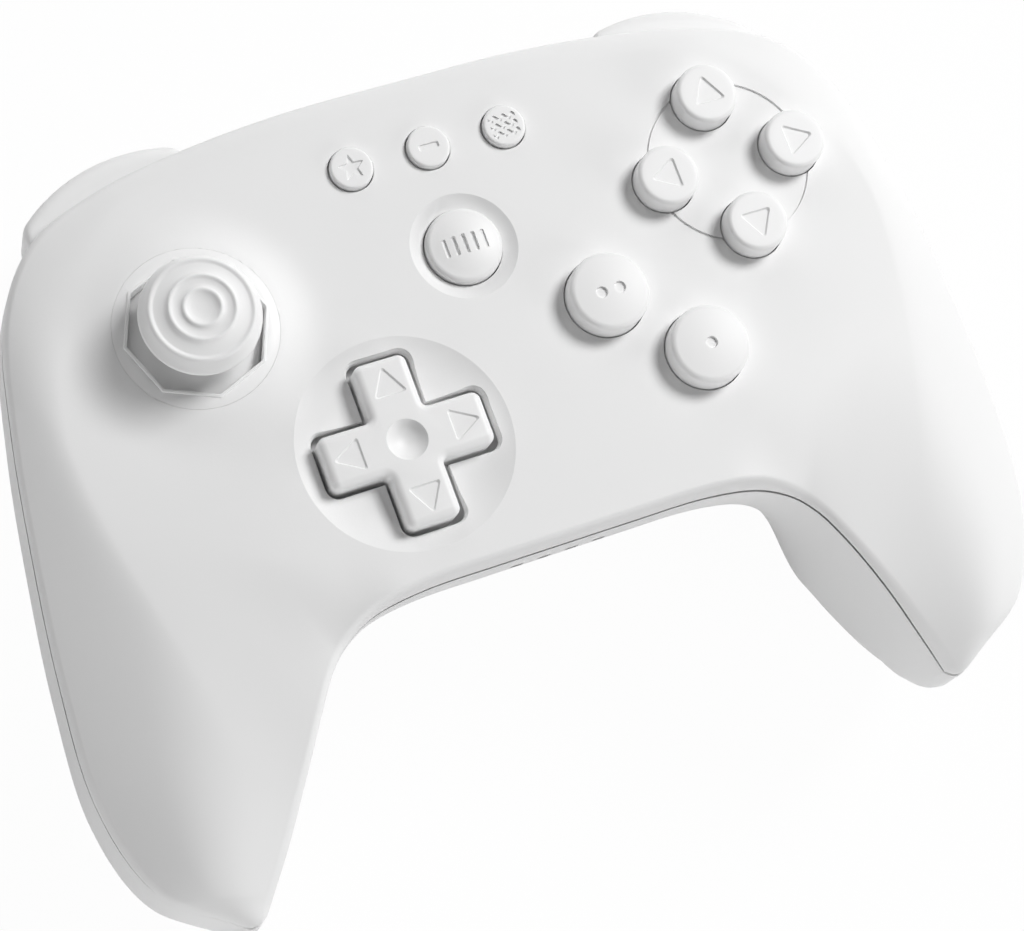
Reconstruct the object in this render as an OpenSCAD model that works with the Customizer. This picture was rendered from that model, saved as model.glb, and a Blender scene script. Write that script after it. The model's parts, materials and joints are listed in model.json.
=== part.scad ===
// Wireless game controller: two shells with grips, one thumb stick in an eight-sided
// gate, a cross pad, ten face buttons, two shoulder buttons, two triggers and the works.
// Every piece is drawn with the face level and z = 0 on the parting line at the middle
// of the bottom edge. lay() then sets the part down on its grips and its hump, so that
// the table is z = 0. Millimetres, +Z up, +Y toward the shoulder edge.

/* [Body] */
// Width over the parting lines of the two grips
body_w = 153; // [147:0.5:160]
// Shoulder edge, from the middle of the part
top_y = 56.2; // [54:0.2:60]
// Bottom edge between the grips
bottom_y = -19.5; // [-22:0.5:-18]
// Tip of the grips
tip_y = -55.4; // [-60:0.2:-52]
// Flat face above the parting line
face_h = 5; // [4.6:0.1:6]
// Wall of both shells
wall = 2.2; // [1.8:0.1:2.6]
// Depth of the rear shell at the hump
hump_d = 33; // [31:0.5:36]
// Depth of the rear shell in the grips
grip_d = 38; // [34:0.5:42]
// Fall of the parting line from the face to the grip tips
tip_fall = 21.5; // [16:0.5:26]
// Angle of the face when the part lies on a table
rest_tilt = 12.6; // [6:0.1:16]
// Height of the face's edge above the seam on the grips
edge_h = 1.5; // [1.2:0.1:2.4]
// Rounding of the face's edge
edge_r = 1.4; // [1:0.1:3]
// Step back that sets the part's box about the middle
rest_y = 2.5; // [0:0.1:8]

/* [Thumb stick] */
// Place of the stick
stick_x = -42.7; // [-46:0.1:-40]
// Place of the stick
stick_y = 26.2; // [22:0.1:30]
// Radius of the gate ring
gate_r = 12.2; // [11:0.1:13]
// Corner radius of the eight-sided opening
gate_open_r = 10.1; // [9.6:0.1:10.6]
// Height of the gate ring above the face
gate_h = 2.2; // [1.6:0.1:3]
// Radius of the stick cap
cap_r = 8.9; // [8:0.1:9.4]
// Height of the cap rim above the face
cap_h = 8; // [7.6:0.1:10]
// Rise of the cap's crown above its rim
cap_crown = 3.5; // [2:0.1:5]
// Pivot below the face
pivot_d = 10; // [9.5:0.1:11]
// Radius of the dust dome about the pivot
dome_r = 12.4; // [12:0.1:12.8]
// Radius of the stick's lever
lever_r = 1.5; // [1.2:0.1:1.8]
// Width of the stick housing
housing_w = 15.4; // [15:0.1:17]

/* [Cross pad] */
// Place of the cross pad
pad_x = -19; // [-22:0.1:-16]
// Place of the cross pad
pad_y = 1.1; // [-2:0.1:4]
// Half the span of the cross
pad_half = 12.7; // [11:0.1:14]
// Half the width of an arm
pad_arm = 4.1; // [3.5:0.1:5]
// Height of the arms above the face
pad_h = 1.5; // [1:0.1:3]
// Radius of the dish round the cross
dish_r = 16.4; // [15:0.1:18]
// Depth of the dish
dish_d = 1.3; // [0.4:0.1:1.5]
// Gap round the cross
pad_gap = 0.6; // [0.5:0.05:1]

/* [Face buttons] */
// Place of the lower main button
a_x = 29.5; // [26:0.1:32]
// Place of the lower main button
a_y = 1.2; // [-2:0.1:4]
// Place of the upper main button
b_x = 17.6; // [15:0.1:20]
// Place of the upper main button
b_y = 13.4; // [10:0.1:16]
// Radius of the two main buttons
ab_r = 6; // [5:0.1:7]
// Height of the main buttons above the face
ab_h = 2.6; // [2:0.1:4]
// Middle of the group of four
c_x = 44.6; // [42:0.1:46]
// Middle of the group of four
c_y = 28.5; // [26:0.1:30]
// Distance of the four buttons from their middle
c_ring = 10.8; // [10:0.1:12]
// Radius of the four buttons
c_r = 4.6; // [4:0.1:5]
// Height of the four buttons above the face
c_h = 2.8; // [2:0.1:4]
// Radius of the groove that joins the four
groove_r = 12.8; // [11:0.1:14]
// Place of the round middle button
start_y = 27.3; // [24:0.1:30]
// Radius of the round middle button
start_r = 5.9; // [5:0.1:7]
// Height of the middle button above the face
start_h = 1.2; // [0.8:0.1:2]
// Radius of the dish round the middle button
start_dish_r = 8.3; // [7.5:0.1:9]
// Depth that dish would have at its middle
start_dish_d = 2; // [0.7:0.1:2.4]
// Row of three small buttons
menu_y = 43.4; // [41:0.1:45]
// Pitch of the small buttons
menu_pitch = 12.4; // [11:0.1:14]
// Radius of the small buttons
menu_r = 3.3; // [2.5:0.1:4]
// Height of the small buttons above the face
menu_h = 1; // [0.6:0.1:2]
// Gap round every round button
button_gap = 0.3; // [0.2:0.05:0.4]
// Flange under a button, beyond its radius
flange = 1.2; // [0.8:0.1:1.3]
// Thickness of that flange
flange_t = 1; // [0.8:0.1:1.4]
// Depth of the button guides below the face
guide_d = 3.2; // [2.8:0.1:3.6]

/* [Shoulders] */
// Middle of a shoulder, in from the side of the body
shoulder_in = 29.2; // [27.5:0.1:30.5]
// Middle of a shoulder, up
shoulder_y = 52; // [51:0.1:53]
// Slant of a shoulder
shoulder_a = 14; // [12:0.5:16]
// Half the length of the shoulder opening
shoulder_half = 14.6; // [14:0.1:15]
// Reach of the shoulder button past the shell
bumper_out = 5.3; // [3:0.1:6]
// Top of the shoulder button below the parting line
bumper_top = 1.2; // [0.8:0.1:3]
// Height of the shoulder button
bumper_h = 11; // [9:0.5:11.5]
// Radius of the shoulder button's curve
bumper_r = 27; // [24:1:50]
// Rounding of the shoulder button's ends
bumper_end_r = 3.5; // [2:0.1:5]
// Reach of the trigger past the shell
trigger_out = 6.8; // [5:0.1:8]
// Lower tip of the trigger below the parting line
trigger_low = 26; // [24:0.5:28]
// Gap round shoulder buttons and triggers
shoulder_gap = 0.5; // [0.4:0.05:0.8]
// Radius of the trigger and shoulder button pins
pin_r = 1.2; // [1:0.05:1.4]
// Running clearance of the pins
pin_gap = 0.06; // [0.03:0.01:0.1]

/* [Inside] */
// Top of the main board below the parting line
board_d = 4; // [3.6:0.1:4.6]
// Thickness of the boards
board_t = 1.6; // [1:0.1:2]
// Thickness of the rubber sheets
rubber_t = 1; // [0.6:0.1:1.2]
// Radius of the screw posts in the rear shell
post_r = 4.2; // [3.9:0.1:4.6]
// Radius of the screw heads
screw_head_r = 2.5; // [2:0.1:2.6]
// Radius of the screw threads
screw_r = 1.1; // [0.9:0.05:1.2]
// Length of the battery
battery_w = 44; // [38:1:48]
// Width of the battery
battery_l = 30; // [26:1:32]
// Thickness of the battery
battery_t = 6.5; // [5:0.5:8]
// Radius of the rumble motors
motor_r = 6; // [5:0.5:7]
// Length of the rumble motors
motor_l = 14; // [12:1:16]
// Radius of the rumble weights
weight_r = 8; // [7:0.5:9]
// Pitch of the four status lights
light_pitch = 4.5; // [4:0.1:5]
// Width of a status light
light_w = 1.8; // [1.2:0.1:2.2]

/* [Hidden] */
$fn = 48;
eps = 0.01;
hw = body_w / 2;
rest_h = hump_d + 7.1;
shoulder_x = hw - shoulder_in;
last = 11;
gate_top = face_h + gate_h;
gate_rim = gate_top - 0.8;
gate_seat = face_h - wall - 0.1;
pivot_z = face_h - pivot_d;
rim_z = face_h + cap_h;
guide_z = face_h - guide_d;
seat_z = guide_z - 0.1;
board_z = -board_d;
pad_top = face_h + pad_h;
pad_low = -0.4;
rock_z = -1.8;
rock_pin_r = 0.5;
ear_y = 5.4;
ear_t = 1.2;
inner_floor = wall - hump_d;
foot_z = -21.6;
motor_x = hw - 16.5;
motor_z = -20;
bumper_half = shoulder_half - shoulder_gap - 0.1;
bumper_low = -bumper_top - bumper_h;
bail_r = housing_w / 2 - 1.3;
hinge_y = -2.5;
hinge_z = -16.5;
spring_r = 0.35;
dome_top = seat_z - flange_t - 0.1;
rubber_top = board_z + rubber_t;
screw_at = [[hw - 48.5, 46], [hw - 43.5, -13], [hw - 14.5, -36]];
c_at = [[c_x, c_y + c_ring], [c_x + c_ring, c_y], [c_x, c_y - c_ring], [c_x - c_ring, c_y]];
white = [0.93, 0.93, 0.92];
grey = [0.55, 0.56, 0.58];
dark = [0.2, 0.2, 0.22];
green = [0.1, 0.35, 0.22];
steel = [0.7, 0.71, 0.73];
ivory = [0.85, 0.85, 0.82];

// Outline of the body: matched knots on the shoulder side and on the bottom side, from
// the middle to the right-hand tip. Left is the mirror of right.
outer_knots = [[0, top_y], [hw - 57.5, top_y - 0.2], [hw - 40.5, top_y - 1.8],
    [hw - 27, top_y - 4.5], [hw - 15.8, top_y - 9.4], [hw - 8.4, top_y - 19.8], [hw - 4.6, 21], [hw - 2.1, 4],
    [hw - 0.2, -15], [hw, -33], [hw - 4.7, tip_y + 8], [hw - 15.2, tip_y + 0.2]];
inner_knots = [[0, bottom_y], [hw - 65.5, bottom_y], [hw - 54.5, bottom_y - 0.1],
    [hw - 46, bottom_y - 1.3], [hw - 40.5, bottom_y - 3.9], [hw - 36.9, -27], [hw - 33.9, -31.6],
    [hw - 30.9, -36.6], [hw - 27.7, -42], [hw - 24.3, -47.7], [hw - 21.1, tip_y + 2.8],
    [hw - 19.2, tip_y]];

function mixed(a, b, t) = a + (b - a) * t;
function ramp(x, a, b) = let (u = min(1, max(0, (x - a) / (b - a)))) u * u * (3 - 2 * u);
// Rounded edge: 0 at the edge, 1 from one radius inward
function edge(u, p) = let (v = 1 - min(1, max(0, u))) pow(1 - pow(v, p), 1 / p);
function knot(k, i) = i < 0 ? [-k[-i].x, k[-i].y] : i > last ? 2 * k[last] - k[last - 1] : k[i];
function spline(a, b, c, d, f) =
    0.5 * (2 * b + (c - a) * f + (2 * a - 5 * b + 4 * c - d) * f * f
    + (3 * b - a - 3 * c + d) * f * f * f);
function right_at(k, u) = let (i = min(floor(u), last - 1))
    spline(knot(k, i - 1), knot(k, i), knot(k, i + 1), knot(k, i + 2), u - i);
function at(k, s) = let (p = right_at(k, abs(s) * last)) s < 0 ? [-p.x, p.y] : p;
// Low crown: 0 at the edge, 1 from one reach inward
function crown(u) = let (v = 1 - min(1, max(0, u))) 1 - v * v;
// Parting line: level round the face, falling along the grips and the outer sides
function part_in(y) = -tip_fall * pow(max(0, (-19 - y) / 38), 2);
function part_out(y) = -0.66 * tip_fall * pow(max(0, (22 - y) / 70), 1.35) - 3.5 * ramp(-y, 49, 55);
// Line under the outer side that the belly of the grips follows
function belly_out(y) = -tip_fall * pow(max(0, (27 - y) / 84), 1.05);

// Plan point, section length, parting height, direction and belly line at grid place s, t,
// drawn in by w
function plan(s, t, w) =
    let (sw = s * (1 - w / 32), a = at(inner_knots, sw), b = at(outer_knots, sw),
        l = norm(b - a), k = min(1.15 * w / l, 0.4), tt = k + t * (1 - 2 * k),
        p = mixed(a, b, tt), dip = 4.8 * tt * (1 - tt) * ramp(abs(sw), 0.93, 1))
    [[p.x, p.y - dip], l * (1 - 2 * k), mixed(part_in(a.y), part_out(b.y), tt), (a - b) / l,
        mixed(part_in(a.y), belly_out(b.y), tt)];

// Face: flat in the middle, falling in a low crown to its edge and rolled over to the seam
function front_at(s, t, w) =
    let (q = plan(s, t, w), l = q[1], n = abs(s), g = ramp(n, 0.5, 0.75),
        r = max(0.5, edge_r - w * 0.5),
        h_in = mixed(face_h, edge_h, ramp(n, 0.22, 0.42)), h_out = mixed(3, edge_h, ramp(n, 0.35, 0.55)),
        h = max(0.2, mixed(h_in, h_out, t) - w),
        c_in = crown(t * l / mixed(12, l * 0.65, ramp(n, 0.3, 0.7))),
        c_out = crown((1 - t) * l / mixed(mixed(5, 12, ramp(n, 0.25, 0.4)), l * 0.75, g)),
        c = c_in * c_out * crown((1 - n) * 60 / 40),
        e = edge(t * l / r, 2) * edge((1 - t) * l / r, 2) * edge((1 - n) * 60 / r, 2))
    [q[0].x, q[0].y, q[2] + (h + (face_h - w - q[2] - h) * c) * e];

function rear_at(s, t, w) =
    let (q = plan(s, t, w), l = q[1], n = abs(s), g = ramp(n, 0.3, 0.62),
        ri = min(mixed(36, 11.7, g) - w, l * 0.5), ro = min(mixed(20, 17, g) - w, l * 0.5),
        e = edge(t * l / ri, mixed(2.5, 2.6, g)) * edge((1 - t) * l / ro, 2.6)
            * edge((1 - n) * 60 / 19.4, 2),
        p = q[0] + q[3] * 0.4 * g * (1 - t) * e)
    [p.x, p.y, mixed(q[2], q[4] - mixed(hump_d, grip_d, g) + w, e)];

ns = 56;
nt = 14;
function steps(n) = [for (j = [0:n]) (1 - cos(180 * j / n)) / 2];
function front_grid(w, m, n) = [for (i = [0:m]) for (t = steps(n)) front_at(2 * i / m - 1, t, w)];
function rear_grid(w, m, n) = [for (i = [0:m]) for (t = steps(n)) rear_at(2 * i / m - 1, t, w)];
function flip(f, on) = on ? [for (v = f) [v[0], v[2], v[1]]] : f;

// Skin between an outer and an inner grid, joined round the parting line
module skin(outside, inside, down) {
    w = nt + 1;
    m = (ns + 1) * w;
    faces = concat(
        [for (i = [0:ns - 1]) for (j = [0:nt - 1]) let (a = i * w + j) each
            [[a, a + 1, a + w + 1], [a, a + w + 1, a + w],
            [m + a, m + a + w + 1, m + a + 1], [m + a, m + a + w, m + a + w + 1]]],
        [for (i = [0:ns - 1]) let (a = i * w, b = a + nt) each
            [[a, a + w, m + a + w], [a, m + a + w, m + a],
            [b + w, b, m + b], [b + w, m + b, m + b + w]]],
        [for (j = [0:nt - 1]) let (a = j, b = ns * w + j) each
            [[a + 1, a, m + a], [a + 1, m + a, m + a + 1],
            [b, b + 1, m + b + 1], [b, m + b + 1, m + b]]]);
    polyhedron(points = concat(outside, inside), faces = flip(faces, down), convexity = 8);
}

// Solid that fills the body to half the wall, to end posts and ribs inside the wall
module fill() {
    m = 36;
    n = 10;
    w = n + 1;
    c = (m + 1) * w;
    function under(i, j) =
        (i == 0 || i == m || j == 0 || j == n) ? i * w + j : c + i * w + j;
    faces = [for (i = [0:m - 1]) for (j = [0:n - 1]) let (a = i * w + j) each
        [[a, a + 1, a + w + 1], [a, a + w + 1, a + w],
        [under(i, j), under(i + 1, j + 1), under(i, j + 1)],
        [under(i, j), under(i + 1, j), under(i + 1, j + 1)]]];
    polyhedron(points = concat(front_grid(wall / 2, m, n), rear_grid(wall / 2, m, n)),
        faces = faces, convexity = 8);
}

// Everything below the table, in the drawing's frame
module table() rotate([rest_tilt, 0, 0]) translate([0, -rest_y, -rest_h])
    block([-120, -120, -60], [120, 120, 0]);
module lay() translate([0, rest_y, rest_h]) rotate([-rest_tilt, 0, 0]) children();
module both() {
    children();
    mirror([1, 0, 0]) children();
}
// Shoulder frame: x along the shoulder away from the middle, y outward
module shoulder(side) mirror([side < 0 ? 1 : 0, 0, 0])
    translate([shoulder_x, shoulder_y, 0]) rotate([0, 0, -shoulder_a]) children();
module block(a, b) translate(a) cube(b - a);
module tube(ro, ri, z0, z1) difference() {
    translate([0, 0, z0]) cylinder(r = ro, h = z1 - z0);
    translate([0, 0, z0 - 1]) cylinder(r = ri, h = z1 - z0 + 2);
}
module rod(p, r, l, v) translate(p) rotate(v) cylinder(r = r, h = l);

// Round button: flange, straight side, rounded rim and a low crown
module button(p, r, top, round, crown) translate([p.x, p.y, 0]) rotate_extrude()
    polygon(concat([[0, seat_z - flange_t], [r + flange, seat_z - flange_t],
        [r + flange, seat_z], [r, seat_z]],
        [for (a = [0:15:90]) [r - round + round * cos(a), top - round + round * sin(a)]],
        [[(r - round) * 0.5, top + crown * 0.75], [0, top + crown]]));
module guide(p, r) translate([p.x, p.y, guide_z])
    cylinder(r = r + button_gap + 1.4, h = face_h - 1.1 - guide_z);
module hole(p, r) translate([p.x, p.y, -20]) cylinder(r = r + button_gap, h = 60);
module dish(p, r, d) translate([p.x, p.y, face_h]) rotate_extrude()
    polygon(concat([for (k = [0:6]) [r * k / 6, -d * (1 - pow(k / 6, 2))]], [[r, 3], [0, 3]]));
module arrow(size, h) cylinder(r = size, h = h, $fn = 3);
module cross(half, arm, z0, z1) {
    block([-half, -arm, z0], [half, arm, z1]);
    block([-arm, -half, z0], [arm, half, z1]);
}

module front_shell() color(white) difference() {
    union() {
        skin(front_grid(0, ns, nt), front_grid(wall, ns, nt), false);
        translate([stick_x, stick_y, 0]) rotate_extrude()
            polygon([[gate_r - 1, face_h - 1.1], [gate_r + 7, face_h - 1.1], [gate_r + 6, face_h - 0.2],
                [gate_r + 3.5, face_h + 0.3], [gate_r + 1.6, gate_rim - 0.6], [gate_r + 0.6, gate_rim],
                [gate_r - 1, gate_rim]]);
        for (p = c_at) guide(p, c_r);
        guide([a_x, a_y], ab_r);
        guide([b_x, b_y], ab_r);
        guide([0, start_y], start_r);
        for (k = [-1:1]) guide([k * menu_pitch, menu_y], menu_r);
        both() for (k = [0, 1]) rod([screw_at[k].x, screw_at[k].y, board_z], 3, board_d + 3.6, [0, 0, 0]);
        both() rod([screw_at[2].x, screw_at[2].y, -14], 3, 10.8, [0, 0, 0]);
    }
    for (p = c_at) hole(p, c_r);
    hole([a_x, a_y], ab_r);
    hole([b_x, b_y], ab_r);
    hole([0, start_y], start_r);
    for (k = [-1:1]) hole([k * menu_pitch, menu_y], menu_r);
    hole([stick_x, stick_y], gate_r - button_gap + 0.1);
    dish([pad_x, pad_y], dish_r, dish_d);
    dish([0, start_y], start_dish_r, start_dish_d);
    translate([pad_x, pad_y, 0]) cross(pad_half + pad_gap, pad_arm + pad_gap, -9, 20);
    translate([c_x, c_y, 0]) tube(groove_r + 0.25, groove_r - 0.25, face_h - 0.4, face_h + 3);
    both() for (k = [0, 1]) rod([screw_at[k].x, screw_at[k].y, -9], screw_r, 10.5, [0, 0, 0]);
    both() rod([screw_at[2].x, screw_at[2].y, -19], screw_r, 14, [0, 0, 0]);
}

module rear_posts() {
    both() for (k = [0, 1])
        rod([screw_at[k].x, screw_at[k].y, -60], post_r, 60 + board_z - board_t, [0, 0, 0]);
    both() rod([screw_at[2].x, screw_at[2].y, -60], post_r, 46, [0, 0, 0]);
    rod([stick_x - 9, stick_y - 7, -60], 2.2, 60 + pivot_z - 6 - board_t, [0, 0, 0]);
    rod([stick_x + 9, stick_y + 7, -60], 2.2, 60 + pivot_z - 6 - board_t, [0, 0, 0]);
    for (x = [-1, 1]) block([x * 15 - 2, 10, -60], [x * 15 + 2, 38, inner_floor + 1]);
    both() block([motor_x - 5, -17, -60], [motor_x + 5, -9, motor_z - 2]);
    for (s = [-1, 1]) shoulder(s) block([-12, -17, -60], [-7, -11, foot_z]);
}

module rear_shell() color(white) difference() {
    union() {
        skin(rear_grid(0, ns, nt), rear_grid(wall, ns, nt), true);
        intersection() {
            rear_posts();
            fill();
        }
    }
    both() for (k = [0, 1]) {
        rod([screw_at[k].x, screw_at[k].y, -70], screw_head_r + 0.4, 58.4, [0, 0, 0]);
        rod([screw_at[k].x, screw_at[k].y, -70], screw_r + 0.2, 80, [0, 0, 0]);
    }
    both() rod([screw_at[2].x, screw_at[2].y, -70], screw_head_r + 0.4, 50, [0, 0, 0]);
    both() rod([screw_at[2].x, screw_at[2].y, -70], screw_r + 0.2, 80, [0, 0, 0]);
    both() rod([motor_x, -5, motor_z], motor_r, 20, [90, 0, 0]);
    for (s = [-1, 1]) shoulder(s)
        block([-shoulder_half, -6.6, -30], [shoulder_half, 30, 0.5]);
    for (k = [-1.5:1.5]) block([k * light_pitch - light_w / 2 - 0.1, bottom_y - 4, -6.65],
        [k * light_pitch + light_w / 2 + 0.1, bottom_y + 5, -5.55]);
    usb_slot(5.4, 2.15, top_y - 6, 20);
    rod([13, top_y - 8, -8], 2.1, 20, [-90, 0, 0]);
    block([-18, top_y - 8, -9.4], [-9, top_y + 5, -6.6]);
    table();
}

module usb_slot(hx, hz, y, l) translate([0, y, -7.6]) rotate([-90, 0, 0]) hull()
    for (x = [-1, 1]) translate([x * (hx - hz), 0, 0]) cylinder(r = hz, h = l);

module shell_screws() color(steel) {
    both() for (k = [0, 1]) screw(screw_at[k], -11.6, 1);
    both() screw(screw_at[2], -20, -6);
}
module screw(p, seat, tip) {
    rod([p.x, p.y, seat - 2.2], screw_head_r, 2.2, [0, 0, 0]);
    rod([p.x, p.y, seat - 1], screw_r, tip - seat + 1, [0, 0, 0]);
}

module at_pivot() translate([stick_x, stick_y, pivot_z]) children();

module stick_gate() color(white) translate([stick_x, stick_y, 0]) difference() {
    rotate_extrude() polygon([[0, face_h - 3.6], [gate_r + 1.8, face_h - 3.6], [gate_r + 1.8, gate_seat],
        [gate_r, gate_seat], [gate_r, gate_rim], [gate_open_r + 0.8, gate_top], [0, gate_top]]);
    translate([0, 0, face_h - 2]) cylinder(r = gate_open_r, h = 9, $fn = 8);
    translate([0, 0, gate_top - 0.6]) cylinder(r1 = gate_open_r, r2 = gate_open_r + 0.8, h = 0.8, $fn = 8);
    rod([0, 0, -2], gate_r - 0.6, face_h + 1.2, [0, 0, 0]);
}
module stick_cap() color(white) at_pivot() rotate_extrude() let (h = rim_z - pivot_z, k = cap_crown)
    polygon([[0, h - 1.8], [lever_r, h - 1.8], [lever_r, h - 3.5], [3, h - 3.5],
        [cap_r - 0.4, h - 1.2], [cap_r, h - 0.9], [cap_r, h - 0.3], [cap_r - 0.3, h + 0.06 * k],
        [7.4, h + 0.66 * k], [7, h + 0.76 * k], [6.5, h + 0.7 * k], [5.2, h + 0.84 * k],
        [4.8, h + 0.96 * k], [4.3, h + 0.88 * k], [3.1, h + 0.9 * k], [2.7, h + k],
        [2.2, h + 0.9 * k], [0, h + 0.82 * k]]);
module stick_dome() color(grey) at_pivot() rotate_extrude() let (h = rim_z - pivot_z)
    polygon(concat([[lever_r, h - 3.5], [3, h - 3.5]],
        [for (a = [15:5:70]) dome_r * [sin(a), cos(a)]],
        [for (a = [70:-5:25]) (dome_r - 0.9) * [sin(a), cos(a)]],
        [[4, 9.6], [4, 8.2], [lever_r, 8.2]]));
module stick_lever() color(steel) at_pivot() {
    rod([0, 0, -3], lever_r, rim_z - pivot_z + 1.2, [0, 0, 0]);
    rod([0, -2.9, 0], 0.9, 5.8, [-90, 0, 0]);
}
module stick_gimbal() color(dark) at_pivot() difference() {
    union() {
        block([1.4 - bail_r, -3, -2], [bail_r - 1.4, 3, 2]);
        rod([0.1 - housing_w / 2, 0, 0], pin_r, housing_w - 0.2, [0, 90, 0]);
    }
    block([-3.4, -lever_r - 0.25, -3], [3.4, lever_r + 0.25, 3]);
    rod([0, -5, 0], 0.9 + pin_gap, 10, [-90, 0, 0]);
}
module stick_bail() color(dark) at_pivot() difference() {
    union() {
        rotate([0, 90, 0]) tube(bail_r, bail_r - 0.9, -2.4, 2.4);
        for (a = [-90, 90]) rod([0, 0, 0], 1.9, bail_r, [a, 0, 0]);
        rod([0, 0.1 - housing_w / 2, 0], pin_r, housing_w - 0.2, [-90, 0, 0]);
    }
    difference() {
        block([-9, -9, -9], [9, 9, 0]);
        block([-2, -9, -2], [2, 9, 2]);
    }
    block([-9, 0.9 - bail_r, -9], [9, bail_r - 0.9, 2.5]);
    block([-lever_r - 0.2, 2 - bail_r, 0], [lever_r + 0.2, bail_r - 2, 9]);
}
module stick_housing() color(steel) at_pivot() difference() {
    block([-housing_w / 2, -housing_w / 2, -6], [housing_w / 2, housing_w / 2, 2.4]);
    block([1.2 - housing_w / 2, 1.2 - housing_w / 2, -5], [housing_w / 2 - 1.2, housing_w / 2 - 1.2, 9]);
    rod([-12, 0, 0], pin_r + pin_gap, 24, [0, 90, 0]);
    rod([0, -12, 0], pin_r + pin_gap, 24, [-90, 0, 0]);
}
module stick_board() color(green) at_pivot() block([-13, -11, -6 - board_t], [13, 11, -6]);

module at_pad() translate([pad_x, pad_y, 0]) children();

// Two ears on the y axis, drilled for the rocker's pins
module ears(z0, z1) difference() {
    for (k = [-1, 1]) block([-1.4, k * ear_y - ear_t / 2, z0], [1.4, k * ear_y + ear_t / 2, z1]);
    rod([0, -9, rock_z], rock_pin_r + pin_gap, 18, [-90, 0, 0]);
}
module pad_cross() color(white) at_pad() {
    difference() {
        union() {
            cross(pad_half, pad_arm, pad_low, pad_top);
            rod([0, 0, pad_low], pad_half + 2.4, 1, [0, 0, 0]);
        }
        translate([0, 0, pad_top + 9.3]) sphere(r = 9.8);
        for (a = [0:90:270]) rotate([0, 0, a]) translate([pad_half - 4.2, 0, pad_top - 0.3]) arrow(3.1, 2);
    }
    ears(rock_z - 1, pad_low + eps);
}
module pad_rocker() color(grey) at_pad() {
    rod([0, 0, rock_z - 0.6], 4.2, 1.2, [0, 0, 0]);
    rod([-ear_y - ear_t / 2, 0, rock_z], rock_pin_r, 2 * ear_y + ear_t, [0, 90, 0]);
    rod([0, -ear_y - ear_t / 2, rock_z], rock_pin_r, 2 * ear_y + ear_t, [-90, 0, 0]);
}
module pad_post() color(ivory) at_pad() {
    rod([0, 0, board_z], ear_y + 1, 0.6, [0, 0, 0]);
    rotate([0, 0, 90]) ears(board_z, rock_z + 0.9);
}
module pad_membrane() color(grey) at_pad() {
    tube(pad_half + 2.4, ear_y + 1.4, board_z, rubber_top);
    for (a = [0:90:270]) rotate([0, 0, a])
        rod([9.6, 0, board_z], 2.2, pad_low - 0.1 - board_z, [0, 0, 0]);
}

module a_button() color(white) button([a_x, a_y], ab_r, face_h + ab_h - 0.3, 1, 0.3);
module b_button() color(white) button([b_x, b_y], ab_r, face_h + ab_h - 0.3, 1, 0.3);
module c_button(k, turn) color(white) difference() {
    button(c_at[k], c_r, face_h + c_h, 0.7, 0);
    translate([c_at[k].x, c_at[k].y, face_h + c_h - 0.3]) rotate([0, 0, turn]) arrow(2.7, 2);
}
module c_up() c_button(0, 90);
module c_right() c_button(1, 0);
module c_down() c_button(2, -90);
module c_left() c_button(3, 180);
module start_button() color(white) button([0, start_y], start_r, face_h + start_h - 0.5, 0.9, 0.5);
module menu_left() color(white) button([-menu_pitch, menu_y], menu_r, face_h + menu_h, 0.5, 0);
module menu_middle() color(white) button([0, menu_y], menu_r, face_h + menu_h, 0.5, 0);
module menu_right() color(white) button([menu_pitch, menu_y], menu_r, face_h + menu_h, 0.5, 0);

module dome(p, r) rod([p.x, p.y, board_z + eps], r * 0.7, dome_top - board_z - eps, [0, 0, 0]);
module face_membrane() color(grey) {
    translate([0, 0, board_z]) linear_extrude(rubber_t) polygon([[10.6, 6], [22, -7], [36, -7],
        [58, 18], [59, 34], [50, 41.6], [44, 43], [38, 43], [28, 36], [26, 22], [10.6, 21]]);
    for (p = c_at) dome(p, c_r);
    dome([a_x, a_y], ab_r);
    dome([b_x, b_y], ab_r);
}
module menu_membrane() color(grey) {
    translate([0, 0, board_z]) linear_extrude(rubber_t) polygon([[-8, 20], [8, 20], [9, 36],
        [18, 38], [18, 48.4], [-18, 48.4], [-18, 38], [-9, 36]]);
    dome([0, start_y], start_r);
    for (k = [-1:1]) dome([k * menu_pitch, menu_y], menu_r);
}
module main_board() color(green) difference() {
    translate([0, 0, board_z - board_t]) linear_extrude(board_t) polygon([[-36, -15.6], [36, -15.6],
        [56, -8], [60, 0], [60, 34], [53, 41], [40, 44], [30.6, 46.4], [30.6, 49], [24, 52],
        [-24, 52], [-30.6, 49], [-30.6, 40], [-36, 8]]);
    rod([stick_x, stick_y, -20], dome_r + 1.6, 40, [0, 0, 0]);
    both() for (k = [0, 1]) rod([screw_at[k].x, screw_at[k].y, -20], screw_r + 0.3, 40, [0, 0, 0]);
}
module battery() color(steel) translate([0, 24, inner_floor + 1])
    block([-battery_w / 2, -battery_l / 2, 0], [battery_w / 2, battery_l / 2, battery_t]);
module motor() color(steel) difference() {
    rod([motor_x, -6, motor_z], motor_r, motor_l, [90, 0, 0]);
    rod([motor_x, -2 - motor_l, motor_z], 1 + pin_gap, 9, [90, 0, 0]);
}
module motor_left() mirror([1, 0, 0]) motor();
module motor_right() motor();
module weight() color(dark) translate([motor_x, -7.5 - motor_l, motor_z]) rotate([90, 0, 0]) {
    difference() {
        cylinder(r = weight_r, h = 7);
        block([-20, 0, -1], [20, 20, 9]);
    }
    cylinder(r = 2.4, h = 7);
    rod([0, 0, -5], 1, 8, [0, 0, 0]);
}
module weight_left() mirror([1, 0, 0]) weight();
module weight_right() weight();

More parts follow.
